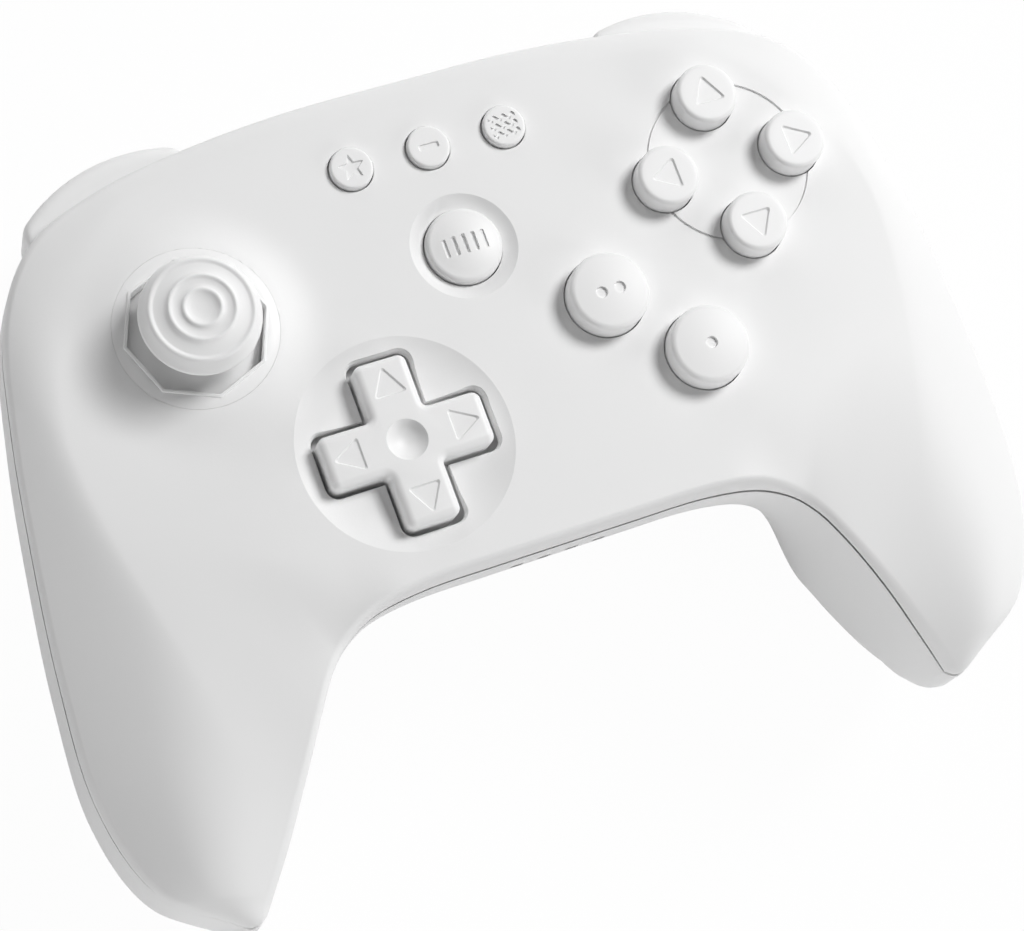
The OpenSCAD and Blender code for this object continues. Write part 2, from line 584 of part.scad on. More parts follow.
module light_guide() color([0.75, 0.9, 0.95]) {
    block([-9, bottom_y + 3.6, -7.8], [9, bottom_y + 6.6, board_z - board_t]);
    for (k = [-1.5:1.5]) block([k * light_pitch - light_w / 2, bottom_y + 0.2, -6.55],
        [k * light_pitch + light_w / 2, bottom_y + 4, -5.65]);
}
module usb_socket() color(steel) {
    difference() {
        union() {
            usb_slot(4.5, 1.65, top_y - 7.6, 7.4);
            block([-4, top_y - 7.6, -7], [4, top_y - 2.4, board_z - board_t]);
        }
        usb_slot(4.15, 1.3, top_y - 6.4, 9);
    }
    block([-3.3, top_y - 7, -7.95], [3.3, top_y - 1.2, -7.25]);
}
module pair_button() color(grey) {
    rod([13, top_y - 4.8, -8], 1.8, 5.4, [-90, 0, 0]);
    rod([13, top_y - 4.8, -8], 2.3, 1, [-90, 0, 0]);
}
module pair_switch() color(dark) block([10.5, top_y - 9.2, -10.4], [15.5, top_y - 5.4, board_z - board_t]);
module mode_knob() color(grey) {
    block([-15.5, top_y - 4.6, -9], [-11.5, top_y + 0.7, -7]);
    block([-17.2, top_y - 4.8, -9.9], [-9.8, top_y - 3.8, -6.1]);
}
module mode_switch() color(dark) block([-18, top_y - 9.6, -10.4], [-9, top_y - 5, board_z - board_t]);

module bracket(side) color(dark) shoulder(side) difference() {
    union() {
        block([1 - shoulder_half, -8.2, -18.4], [shoulder_half - 0.3, -6.8, -1.4]);
        block([-12.6, -8.2, foot_z], [2, -6.8, -18]);
        block([-14, -7, -8.6], [-9.2, -1.2, -5.4]);
        for (x = [-14.2, 13.2]) block([x, -7, -18.5], [x + 1, -0.4, -13.4]);
        block([-12.6, -17, foot_z], [-6.4, -7, foot_z + 1.6]);
    }
    rod([-11.6, -3.4, -20], pin_r, 30, [0, 0, 0]);
    rod([-20, hinge_y, hinge_z], pin_r, 40, [0, 90, 0]);
}
module bracket_left() bracket(-1);
module bracket_right() bracket(1);
// Plan of a shoulder button or trigger: bowed outside, with rounded ends
module shoulder_plan(half, out, z0, z1) {
    cx = half - bumper_end_r;
    cy = out - bumper_r + sqrt(pow(bumper_r - bumper_end_r, 2) - cx * cx);
    tx = cx * bumper_r / (bumper_r - bumper_end_r);
    intersection() {
        rod([0, out - bumper_r, z0], bumper_r, z1 - z0, [0, 0, 0]);
        block([-tx, -5, z0], [tx, 20, z1]);
    }
    block([-half, -5, z0], [half, cy, z1]);
    for (k = [-1, 1]) rod([k * cx, cy, z0], bumper_end_r, z1 - z0, [0, 0, 0]);
}
module bumper(side) color(white) shoulder(side) difference() {
    intersection() {
        translate([0, bumper_out - bumper_r, 0]) rotate_extrude($fn = 96)
            polygon(concat([[0, bumper_low], [bumper_r, bumper_low]],
            [for (a = [0:15:90]) [bumper_r - 3 + 3 * cos(a), -bumper_top - 3 + 3 * sin(a)]],
            [[0, -bumper_top]]));
        shoulder_plan(bumper_half, bumper_out, bumper_low - 1, 1);
    }
    block([-20, -6, -9], [-8.4, -0.6, -5]);
    rod([-11.6, -3.4, -20], pin_r + pin_gap, 30, [0, 0, 0]);
}
module bumper_left() bumper(-1);
module bumper_right() bumper(1);
module bumper_pins() color(steel) for (s = [-1, 1]) shoulder(s)
    rod([-11.6, -3.4, bumper_low + 0.2], pin_r, bumper_h - 0.6, [0, 0, 0]);
module bumper_switches() color(dark) for (s = [-1, 1]) shoulder(s) block([6, -6.8, -8], [11, -6.3, -4]);
module trigger(side) color(white) shoulder(side) difference() {
    union() {
        intersection() {
            translate([-bumper_half, 0, 0]) rotate([90, 0, 90]) linear_extrude(2 * bumper_half)
                polygon([[-2.5, -13.2], [3, -12.9], [trigger_out - 1.6, -13.7],
                [trigger_out - 0.5, -15.6], [trigger_out, -18.2], [trigger_out - 0.2, -20.6],
                [trigger_out - 1, -23.2], [trigger_out - 2.2, -25.2], [3.4, -trigger_low],
                [2.2, 0.4 - trigger_low], [1.8, -24], [2.3, -22], [1.6, -19.6], [-2.5, -19.4]]);
            translate([-1.2, 0, 0]) shoulder_plan(bumper_half - 1.2, trigger_out, -30, -10);
        }
        rod([-12.9, hinge_y, hinge_z], 2.9, 20.9, [0, 90, 0]);
    }
    block([-16, -10, -30], [-12.9, 0.3, -10]);
    rod([-20, hinge_y, hinge_z], pin_r + pin_gap, 40, [0, 90, 0]);
    rod([8, hinge_y, hinge_z], 3.4, 4.3, [0, 90, 0]);
}
module trigger_left() trigger(-1);
module trigger_right() trigger(1);
module trigger_pins() color(steel) for (s = [-1, 1]) shoulder(s)
    rod([-14.3, hinge_y, hinge_z], pin_r, 28.6, [0, 90, 0]);
module spring(side) color(steel) shoulder(side) for (k = [0:3])
    translate([8.8 + 0.9 * k, hinge_y, hinge_z]) rotate([0, 90, 0])
    rotate_extrude() translate([pin_r + spring_r, 0]) circle(r = spring_r);
module spring_left() spring(-1);
module spring_right() spring(1);

lay() {
    front_shell();
    rear_shell();
    shell_screws();
    stick_gate();
    stick_cap();
    stick_dome();
    stick_lever();
    stick_gimbal();
    stick_bail();
    stick_housing();
    stick_board();
    pad_cross();
    pad_rocker();
    pad_post();
    pad_membrane();
    a_button();
    b_button();
    c_up();
    c_right();
    c_down();
    c_left();
    start_button();
    menu_left();
    menu_middle();
    menu_right();
    face_membrane();
    menu_membrane();
    main_board();
    battery();
    motor_left();
    motor_right();
    weight_left();
    weight_right();
    light_guide();
    usb_socket();
    pair_button();
    pair_switch();
    mode_knob();
    mode_switch();
    bracket_left();
    bracket_right();
    bumper_left();
    bumper_right();
    bumper_pins();
    bumper_switches();
    trigger_left();
    trigger_right();
    trigger_pins();
    spring_left();
    spring_right();
}
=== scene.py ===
"""Looks of a white wireless game controller, built around its packed CAD frame."""

import json
import math
from types import SimpleNamespace

import bmesh
import bpy
import numpy as np
from bpy.props import FloatProperty, FloatVectorProperty, PointerProperty
from mathutils import Matrix, Vector


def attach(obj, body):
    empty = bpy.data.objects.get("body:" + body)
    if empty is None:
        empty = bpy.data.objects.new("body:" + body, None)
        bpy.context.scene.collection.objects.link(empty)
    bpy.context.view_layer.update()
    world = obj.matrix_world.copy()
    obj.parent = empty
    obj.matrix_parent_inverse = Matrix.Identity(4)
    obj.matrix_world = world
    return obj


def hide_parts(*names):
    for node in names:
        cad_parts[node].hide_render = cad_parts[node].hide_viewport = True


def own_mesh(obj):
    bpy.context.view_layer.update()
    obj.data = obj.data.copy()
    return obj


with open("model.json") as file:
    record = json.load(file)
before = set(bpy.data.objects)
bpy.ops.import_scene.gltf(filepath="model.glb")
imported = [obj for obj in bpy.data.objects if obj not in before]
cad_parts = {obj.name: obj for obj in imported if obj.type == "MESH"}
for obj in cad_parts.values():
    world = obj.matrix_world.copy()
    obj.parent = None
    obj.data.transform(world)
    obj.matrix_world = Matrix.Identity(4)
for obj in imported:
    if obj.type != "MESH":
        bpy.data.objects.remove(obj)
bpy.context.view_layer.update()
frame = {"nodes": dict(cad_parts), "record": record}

bl_info = {
    "name": "Game Controller Looks",
    "version": (1, 0, 0),
    "blender": (4, 5, 0),
    "location": "3D View > Sidebar > Controller",
    "description": "Shells, controls, finishes and studio of a white game controller",
    "category": "Object",
}

MM = 0.001
SIDES = ((-1, "left"), (1, "right"))
GROUP_NAMES = ("c_up", "c_right", "c_down", "c_left")
FINISH = {}  # finishes by slot, made by the first operator


# Sizes and colours that can be changed

def length(name, mm, text):
    return FloatProperty(name=name, description=text, default=mm * MM, unit="LENGTH", precision=5)


def colour(name, rgb, text):
    return FloatVectorProperty(
        name=name, description=text, default=rgb, size=3, min=0, max=1, subtype="COLOR"
    )


class BodySizes(bpy.types.PropertyGroup):
    """Sizes of the two shells and how the part lies."""

    body_w: length("Body width", 153, "Width over the parting lines of the grips")
    top_y: length("Shoulder edge", 56.2, "Shoulder edge from the middle of the part")
    bottom_y: length("Bottom edge", -19.5, "Bottom edge between the grips")
    tip_y: length("Grip tips", -55.4, "Tip of the grips")
    face_h: length("Face height", 5, "Flat face above the parting line")
    wall: length("Wall", 2.2, "Wall of both shells")
    hump_d: length("Hump depth", 33, "Depth of the rear shell at the hump")
    grip_d: length("Grip depth", 38, "Depth of the rear shell in the grips")
    tip_fall: length("Parting fall", 21.5, "Fall of the parting line to the grip tips")
    edge_h: length("Edge height", 1.5, "Height of the face's edge above the seam on the grips")
    edge_r: length("Edge rounding", 1.4, "Rounding of the face's edge")
    rest_h: length("Rest height", 40.1, "Height of the parting line above the table")
    rest_y: length("Rest shift", 2.5, "Shift that centres the part's box")
    seam: length("Seam gap", 0.5, "Gap between the shells at the seam")
    swell: length("Swell", 0.6, "Swell of the rear shell past the seam on the outside of the grips")
    rest_tilt: FloatProperty(
        name="Rest tilt", description="Lean of the face on the table",
        default=math.radians(12.6), subtype="ANGLE",
    )


class StickSizes(bpy.types.PropertyGroup):
    """Sizes of the thumb stick."""

    x: length("Stick across", -42.7, "Place of the stick across the face")
    y: length("Stick up", 26.2, "Place of the stick up the face")
    gate_r: length("Gate radius", 12.2, "Radius of the gate ring")
    gate_open_r: length("Gate opening", 10.1, "Corner radius of the eight-sided opening")
    gate_h: length("Gate height", 2.2, "Height of the gate ring above the face")
    cap_r: length("Cap radius", 8.9, "Radius of the stick cap")
    cap_h: length("Cap height", 8, "Height of the cap rim above the face")
    cap_crown: length("Cap crown", 3.5, "Rise of the crown above the rim")
    pivot_d: length("Pivot depth", 10, "Pivot below the face")
    dome_r: length("Dome radius", 13.6, "Radius of the dust dome about the pivot")
    lever_r: length("Lever radius", 1.5, "Radius of the lever")


class PadSizes(bpy.types.PropertyGroup):
    """Sizes of the cross pad."""

    x: length("Pad across", -19, "Place of the pad across the face")
    y: length("Pad up", 1.1, "Place of the pad up the face")
    half: length("Half span", 12.7, "Half the span of the cross")
    arm: length("Half arm", 4.1, "Half the width of an arm")
    rise: length("Rise", 2.6, "Height of the arms above the face")
    lean: length("Lean", 0.2, "How far the cross lies left of its pivot")
    dish_r: length("Dish radius", 16.4, "Radius of the dish round the cross")
    dish_d: length("Dish depth", 1.3, "Depth of the dish")
    gap: length("Gap", 0.6, "Gap round the cross")
    play: length("Play", 0.3, "How far the hole is larger and further up and right than its gap")
    fillet: length("Edge rounding", 1.2, "Rounding of the upper edges")


class ButtonSizes(bpy.types.PropertyGroup):
    """Sizes of the round buttons."""

    a_x: length("Lower button across", 29.7, "Place of the lower main button")
    a_y: length("Lower button up", 1.2, "Place of the lower main button")
    b_x: length("Upper button across", 17.8, "Place of the upper main button")
    b_y: length("Upper button up", 13.4, "Place of the upper main button")
    ab_r: length("Main radius", 6.15, "Radius of the main buttons")
    ab_h: length("Main height", 4, "Height of the main buttons above the face")
    c_x: length("Group across", 44.6, "Middle of the group of four")
    c_y: length("Group up", 28.5, "Middle of the group of four")
    c_ring: length("Group ring", 10.8, "Distance of the four from their middle")
    c_r: length("Group radius", 4.8, "Radius of the four buttons")
    c_h: length("Group height", 3.6, "Height of the four buttons above the face")
    c_shift: length("Group shift", 0.4, "Shift of the four down and left of their groove")
    groove_r: length("Groove radius", 12.8, "Radius of the groove that joins the four")
    start_y: length("Middle button up", 27.3, "Place of the round middle button")
    start_r: length("Middle radius", 5.9, "Radius of the middle button")
    start_h: length("Middle height", 1.2, "Height of the middle button above the face")
    start_dish_r: length("Middle dish", 8.3, "Radius of the dish round the middle button")
    start_dish_d: length("Middle dish depth", 2, "Depth that dish would have at its middle")
    menu_y: length("Small row up", 43.4, "Row of the small buttons")
    menu_pitch: length("Small pitch", 12.4, "Pitch of the small buttons")
    menu_r: length("Small radius", 3.3, "Radius of the small buttons")
    menu_h: length("Small height", 1, "Height of the small buttons above the face")
    gap: length("Button gap", 0.18, "Gap round every round button")
    flange: length("Flange", 1.2, "Flange under a button beyond its radius")
    seat: length("Seat", 1.7, "Top of the flanges above the parting line")
    mark: length("Mark depth", 0.3, "Depth of the marks in the buttons")
    board_d: length("Board depth", 4, "Top of the main board below the parting line")
    rubber_t: length("Rubber thickness", 1, "Thickness of the rubber sheets")


class ShoulderSizes(bpy.types.PropertyGroup):
    """Sizes of the shoulder buttons and triggers."""

    x: length("Shoulder across", 47.3, "Middle of a shoulder")
    y: length("Shoulder up", 52, "Middle of a shoulder")
    half: length("Half opening", 14.6, "Half the length of the shoulder opening")
    gap: length("Gap", 0.6, "Gap at the ends of the shoulder buttons")
    out: length("Reach", 5.3, "Reach of the shoulder button past its middle line")
    end_r: length("End rounding", 3.5, "Rounding of the shoulder button's ends")
    trigger_out: length("Trigger reach", 6.8, "Reach of the trigger past the middle line")
    top: length("Top", 1.2, "Top of the shoulder button below the parting line")
    height: length("Height", 11, "Height of the shoulder button")
    bow: length("Bow", 27, "Radius of the shoulder button's curve")
    low: length("Trigger tip", 26, "Lower tip of the trigger below the parting line")
    pin_r: length("Pin radius", 1.2, "Radius of the pins")
    slant: FloatProperty(
        name="Slant", description="Slant of a shoulder",
        default=math.radians(14), subtype="ANGLE",
    )


class Finishes(bpy.types.PropertyGroup):
    """Base colours of the finishes."""

    shell: colour("Shell white", (0.84, 0.84, 0.84), "Matte white of the two shells")
    control: colour("Control white", (0.85, 0.85, 0.85), "Satin white of the controls")
    cap: colour("Cap white", (0.84, 0.84, 0.84), "White rubber of the stick cap")
    dome: colour("Dome white", (0.84, 0.84, 0.84), "White of the dust dome and small knobs")
    board: colour("Board green", (0.02, 0.13, 0.06), "Solder mask of the boards")
    dark: colour("Dark plastic", (0.03, 0.03, 0.033), "Black plastic of inner pieces")
    rubber: colour("Rubber grey", (0.2, 0.2, 0.21), "Grey rubber of the button sheets")
    steel: colour("Steel", (0.5, 0.51, 0.53), "Bare steel")
    brass: colour("Brass", (0.6, 0.45, 0.2), "Brass of the rumble weights")
    foil: colour("Foil", (0.55, 0.56, 0.58), "Foil of the battery")
    # Near black, so that the guide in the windows of the rear shell reads as dark dashes.
    light: colour("Light guide", (0.04, 0.042, 0.045), "Smoked plastic of the light guide")
    ivory: colour("Ivory", (0.65, 0.63, 0.57), "Natural plastic of inner pieces")


GROUPS = {
    "controller_body": BodySizes,
    "controller_stick": StickSizes,
    "controller_pad": PadSizes,
    "controller_buttons": ButtonSizes,
    "controller_shoulders": ShoulderSizes,
    "controller_finishes": Finishes,
}


def sizes(name):
    """The lengths of one group in millimetres and its angles in radians."""
    group = getattr(bpy.context.scene, name)
    angles = {"rest_tilt", "slant"}
    return SimpleNamespace(
        **{k: getattr(group, k) / (1 if k in angles else MM) for k in group.__annotations__}
    )


# Frames

def lay():
    """From the drawing's frame in millimetres, face level, to the part lying on the table."""
    b = sizes("controller_body")
    place = Matrix.Translation((0, b.rest_y * MM, b.rest_h * MM))
    return place @ Matrix.Rotation(-b.rest_tilt, 4, "X") @ Matrix.Scale(MM, 4)


def shoulder(side):
    """From a shoulder's own frame to the drawing's: x away from the middle, y outward."""
    s = sizes("controller_shoulders")
    flip = Matrix.Diagonal((side, 1, 1, 1))
    return flip @ Matrix.Translation((s.x, s.y, 0)) @ Matrix.Rotation(-s.slant, 4, "Z")


def shift(x, y, z=0.0):
    return Matrix.Translation((x, y, z))


# Meshes in the drawing's frame

def new_mesh(verts, faces, place=None):
    """A closed mesh with its faces turned outward."""
    mesh = bpy.data.meshes.new("shape")
    mesh.from_pydata([tuple(v) for v in verts], [], [tuple(f) for f in faces])
    if place is not None:
        mesh.transform(place)
    bm = bmesh.new()
    bm.from_mesh(mesh)
    bmesh.ops.remove_doubles(bm, verts=bm.verts, dist=1e-5)
    bmesh.ops.recalc_face_normals(bm, faces=bm.faces)
    bm.to_mesh(mesh)
    bm.free()
    return mesh


def lathe(profile, place=None, segments=96):
    """Solid turned about z from (radius, height) points that begin and end on the axis."""
    verts, faces, rings = [], [], []
    for r, z in profile:
        if r < 1e-9:
            rings.append([len(verts)])
            verts.append((0, 0, z))
        else:
            rings.append(list(range(len(verts), len(verts) + segments)))
            turn = np.arange(segments) * 2 * math.pi / segments
            verts += [(r * math.cos(a), r * math.sin(a), z) for a in turn]
    for lower, upper in zip(rings, rings[1:]):
        for k in range(segments):
            n = (k + 1) % segments
            corners = [lower[k % len(lower)], lower[n % len(lower)],
                       upper[n % len(upper)], upper[k % len(upper)]]
            face = list(dict.fromkeys(corners))
            if len(face) > 2:
                faces.append(face)
    return new_mesh(verts, faces, place)


def turned_ring(profile, place, segments=128):
    """Solid turned about z from a closed outline that stays off the axis."""
    n = len(profile)
    turn = np.arange(segments) * 2 * math.pi / segments
    verts = [(r * math.cos(a), r * math.sin(a), z) for a in turn for r, z in profile]
    faces = [[i * n + q, i * n + (q + 1) % n, (i + 1) % segments * n + (q + 1) % n,
              (i + 1) % segments * n + q] for i in range(segments) for q in range(n)]
    return new_mesh(verts, faces, place)


def loft(rings, place=None):
    """Solid through closed rings of equal point counts, capped at both ends."""
    n = len(rings[0])
    verts = [p for ring in rings for p in ring]
    faces = [list(range(n))[::-1], list(range((len(rings) - 1) * n, len(rings) * n))]
    for i in range(len(rings) - 1):
        for k in range(n):
            m = (k + 1) % n
            faces.append([i * n + k, i * n + m, (i + 1) * n + m, (i + 1) * n + k])
    return new_mesh(verts, faces, place)


def block(low, high, place=None):
    """Box between two corners."""
    (a, b, c), (d, e, f) = low, high
    ring = [(a, b), (d, b), (d, e), (a, e)]
    return loft([[(x, y, z) for x, y in ring] for z in (c, f)], place)


def rod(p, r, reach, turn=None):
    """Round rod from p, along z unless turned."""
    place = shift(*p) if turn is None else shift(*p) @ turn
    return lathe([(0, 0), (r, 0), (r, reach), (0, reach)], place, 48)


ALONG_X = Matrix.Rotation(math.radians(90), 4, "Y")
ALONG_Y = Matrix.Rotation(math.radians(-90), 4, "X")


def rounded(points, radii, steps=6):
    """Closed outline with each corner replaced by an arc of its own radius."""
    out, n = [], len(points)
    for k in range(n):
        p = Vector(points[k])
        a = (Vector(points[k - 1]) - p).normalized()
        b = (Vector(points[(k + 1) % n]) - p).normalized()
        half = math.acos(max(-1, min(1, a.dot(b)))) / 2
        r = radii[k]
        mid = p + (a + b).normalized() * (r / math.sin(half))
        start, end = p + a * (r / math.tan(half)), p + b * (r / math.tan(half))
        u, v = start - mid, end - mid
        swing = math.atan2(u.x * v.y - u.y * v.x, u.dot(v))
        for i in range(steps + 1):
            c, s = math.cos(swing * i / steps), math.sin(swing * i / steps)
            out.append((mid.x + u.x * c - u.y * s, mid.y + u.x * s + u.y * c))
    return out


def prism(outline, low, high):
    """Upright solid on an outline."""
    return loft([[(x, y, z) for x, y in outline] for z in (low, high)])


def through(outline, near, far, place):
    """Cutter along y with an outline in x and z."""
    return loft([[(x, y, z) for x, z in outline] for y in (near, far)], place)


def joined(meshes):
    """One mesh of several that don't touch."""
    bm = bmesh.new()
    for mesh in meshes:
        bm.from_mesh(mesh)
        bpy.data.meshes.remove(mesh)
    out = bpy.data.meshes.new("joined")
    bm.to_mesh(out)
    bm.free()
    return out


def combine(mesh, other, operation):
    """mesh joined with other, cut by it or kept only inside it."""
    a = bpy.data.objects.new("a", mesh)
    b = bpy.data.objects.new("b", other)
    for o in (a, b):
        bpy.context.scene.collection.objects.link(o)
    step = a.modifiers.new("combine", "BOOLEAN")
    step.operation, step.solver, step.object = operation, "MANIFOLD", b
    graph = bpy.context.evaluated_depsgraph_get()
    out = bpy.data.meshes.new_from_object(a.evaluated_get(graph))
    if not out.polygons:
        raise RuntimeError("a combined shape came out empty")
    for o in (a, b):
        bpy.data.objects.remove(o)
    for used in (mesh, other):
        bpy.data.meshes.remove(used)
    return out


def cut(mesh, *cutters):
    for cutter in cutters:
        mesh = combine(mesh, cutter, "DIFFERENCE")
    return mesh


def add(mesh, *others):
    for other in others:
        mesh = combine(mesh, other, "UNION")
    return mesh


def common(mesh, other):
    """What mesh and other share."""
    return combine(mesh, other, "INTERSECT")


def moved(mesh, place):
    """The mesh itself, put in place with its faces still outward."""
    mesh.transform(place)
    if place.determinant() < 0:
        mesh.flip_normals()
    return mesh


def piece(name, mesh, body, node, slot, sharp=32):
    """A finished piece: laid on the table, shaded, riding on its body in place of its node."""
    mesh.transform(lay())
    mesh.name = name
    bm = bmesh.new()
    bm.from_mesh(mesh)
    bmesh.ops.remove_doubles(bm, verts=bm.verts, dist=2e-7)
    bmesh.ops.dissolve_degenerate(bm, edges=bm.edges, dist=1e-7)
    bm.to_mesh(mesh)
    bm.free()
    mesh.shade_smooth()
    mesh.set_sharp_from_angle(angle=math.radians(sharp))
    mesh.materials.clear()
    mesh.materials.append(FINISH[slot])
    obj = bpy.data.objects.new(name, mesh)
    bpy.context.scene.collection.objects.link(obj)
    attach(obj, body)
    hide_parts(node)
    return obj


# Form of the shells

# s runs along the body from -1 at the left tip to 1 at the right tip, and n is its amount.
# t runs across it from 0 on the bottom side to 1 on the shoulder side. w is the depth below
# the outside.
ACROSS, DOWN = 340, 140  # steps of the outer grids
TIP_REACH = 60  # length that one step of n stands for at the tips
DRAWN_ALONG, DRAWN_ACROSS, MOST_DRAWN = 32, 1.15, 0.4  # how the inner grids are drawn in
TIP_BULGE = 4.8
SHOULDER_EDGE_H = 3.0  # height of the face's edge on the shoulder side
CROWN_BOTTOM, CROWN_SHOULDER, CROWN_TIP = 12.0, 5.0, 40  # reach of the face's crown
HUMP_IN, HUMP_OUT, GRIP_LESS_IN, GRIP_LESS_OUT = 36, 20, 24.3, 3  # rounding of the rear
TIP_ROUND, POWER_IN, POWER_OUT = 19.4, 2.5, 2.6
LIP_SWELL = 0.25  # least swell of the rear past the seam
RIM_DRAW = 0.07


def spline(a, b, c, d, f):
    """Point at f from b to c on the smooth curve through a, b, c and d."""
    return 0.5 * (2 * b + (c - a) * f + (2 * a - 5 * b + 4 * c - d) * f ** 2
                  + (3 * b - a - 3 * c + d) * f ** 3)


def ramp(x, a, b):
    """Smooth rise from 0 at a to 1 at b."""
    u = np.clip((x - a) / (b - a), 0, 1)
    return u * u * (3 - 2 * u)


def edge(u, p):
    """Rounded edge: 0 at the edge, 1 from one radius inward."""
    return (1 - (1 - np.clip(u, 0, 1)) ** p) ** (1 / p)


def crown(u):
    """Low crown: 0 at the edge, 1 from one reach inward."""
    return 1 - (1 - np.clip(u, 0, 1)) ** 2


def outline_knots(b):
    """Matched points on the shoulder side and the bottom side, from the middle to the right tip."""
    hw, top, low, tip = b.body_w / 2, b.top_y, b.bottom_y, b.tip_y
    outer = [(0, top), (hw - 57.5, top - 0.2), (hw - 40.5, top - 1.8), (hw - 27, top - 4.5),
             (hw - 15.8, top - 9.4), (hw - 8.4, top - 19.8), (hw - 4.6, 21), (hw - 2.1, 4),
             (hw - 0.2, -15), (hw, -33), (hw - 4.7, tip + 8), (hw - 15.2, tip + 0.2)]
    inner = [(0, low), (hw - 65.5, low), (hw - 54.5, low - 0.1), (hw - 46, low - 1.3),
             (hw - 40.5, low - 3.9), (hw - 36.9, -27), (hw - 33.9, -31.6), (hw - 30.9, -36.6),
             (hw - 27.7, -42), (hw - 24.3, -47.7), (hw - 21.1, tip + 2.8), (hw - 19.2, tip)]
    return np.array(outer, float), np.array(inner, float)


def along(knots, s):
    """Point of the outline at s from -1, the left tip, to 1, the right tip."""
    last = len(knots) - 1
    before = knots[1] * (-1, 1)
    after = 2 * knots[last] - knots[last - 1]
    chain = np.vstack([before, knots, after])
    u = np.abs(s) * last
    i = np.minimum(np.floor(u).astype(int), last - 1)
    f = (u - i)[..., None]
    p = spline(chain[i], chain[i + 1], chain[i + 2], chain[i + 3], f)
    p[..., 0] *= np.where(s < 0, -1, 1)
    return p


def fall(y, start, over, power):
    """Growing fall of a line where y is below start: 1 when it is lower by over."""
    return np.maximum(0, (start - y) / over) ** power


def plan(b, s, t, w):
    """Plan point, section length, parting height, direction and belly at s, t, drawn in by w."""
    outer, inner = outline_knots(b)
    sw = s * (1 - w / DRAWN_ALONG)
    p_in, p_out = along(inner, sw), along(outer, sw)
    span = np.linalg.norm(p_out - p_in, axis=-1)
    k = np.minimum(DRAWN_ACROSS * w / span, MOST_DRAWN)
    tt = k + t * (1 - 2 * k)
    xy = p_in + (p_out - p_in) * tt[..., None]
    xy[..., 1] -= TIP_BULGE * tt * (1 - tt) * ramp(np.abs(sw), 0.93, 1)
    y_in, y_out = p_in[..., 1], p_out[..., 1]
    seam_in = -b.tip_fall * fall(y_in, start=-19, over=38, power=2)
    seam_out = (-0.66 * b.tip_fall * fall(y_out, start=22, over=70, power=1.35)
                - 3.5 * ramp(-y_out, 49, 55))
    belly_out = -b.tip_fall * fall(y_out, start=27, over=84, power=1.05)
    return (xy, span * (1 - 2 * k), seam_in + (seam_out - seam_in) * tt,
            (p_in - p_out) / span[..., None], seam_in + (belly_out - seam_in) * tt)


def mixed(a, b, t):
    """From a at t = 0 to b at t = 1."""
    return a + (b - a) * t


def front_points(b, s, t, w):
    """Face: flat in the middle, falling in a low crown to its edge and rolled over to the seam."""
    xy, span, parting, _, _ = plan(b, s, t, w)
    n = np.abs(s)
    r = max(0.5, b.edge_r - w * 0.5)
    h_in = mixed(b.face_h, b.edge_h, ramp(n, 0.22, 0.42))
    h_out = mixed(SHOULDER_EDGE_H, b.edge_h, ramp(n, 0.35, 0.55))
    h = np.maximum(0.2, mixed(h_in, h_out, t) - w)
    reach_in = mixed(CROWN_BOTTOM, span * 0.65, ramp(n, 0.3, 0.7))
    reach_out = mixed(mixed(CROWN_SHOULDER, CROWN_BOTTOM, ramp(n, 0.25, 0.4)), span * 0.75,
                      ramp(n, 0.5, 0.75))
    from_in, from_out, from_tip = t * span, (1 - t) * span, (1 - n) * TIP_REACH
    c = crown(from_in / reach_in) * crown(from_out / reach_out) * crown(from_tip / CROWN_TIP)
    e = edge(from_in / r, 2) * edge(from_out / r, 2) * edge(from_tip / r, 2)
    lip = b.seam / 2 + w * 0.3
    z = parting + (h + (b.face_h - w - parting - h) * c) * e + lip * (1 - e)
    return np.dstack([xy, z])


def rear_points(b, s, t, w):
    """Rear: hump and grips, rounded down from the seam to the belly."""
    xy, span, parting, side, belly = plan(b, s, t, w)
    n = np.abs(s)
    g = ramp(n, 0.3, 0.62)
    r_in = np.minimum(HUMP_IN - GRIP_LESS_IN * g - w, span * 0.5)
    r_out = np.minimum(HUMP_OUT - GRIP_LESS_OUT * g - w, span * 0.5)
    v = 1 - np.clip(t * span / r_in, 0, 1)
    p = POWER_IN + 0.1 * g
    e = ((1 - v ** p) ** (1 / p) * edge((1 - t) * span / r_out, POWER_OUT)
         * edge((1 - n) * TIP_REACH / TIP_ROUND, 2))
    past = LIP_SWELL + b.swell * (1 - (1 - e) ** 5)
    outward = past * ramp(n, 0.35, 0.5) * ramp(t, 0.6, 0.95)
    inward = 0.4 * g * (1 - t) * e + 0.18 * (1 - ramp(t, 0.05, 0.4))
    xy = xy + side * (inward - outward)[..., None]
    xy[..., 1] -= past * ramp(n, 0.9, 1) * (1 - ramp(t, 0.6, 0.95)) * ramp(t, 0, 0.3)
    low = belly - mixed(b.hump_d, b.grip_d, g) + w
    lip = b.seam / 2 + w * 0.4
    return np.dstack([xy, mixed(parting, low, e) - lip * (1 - e)])


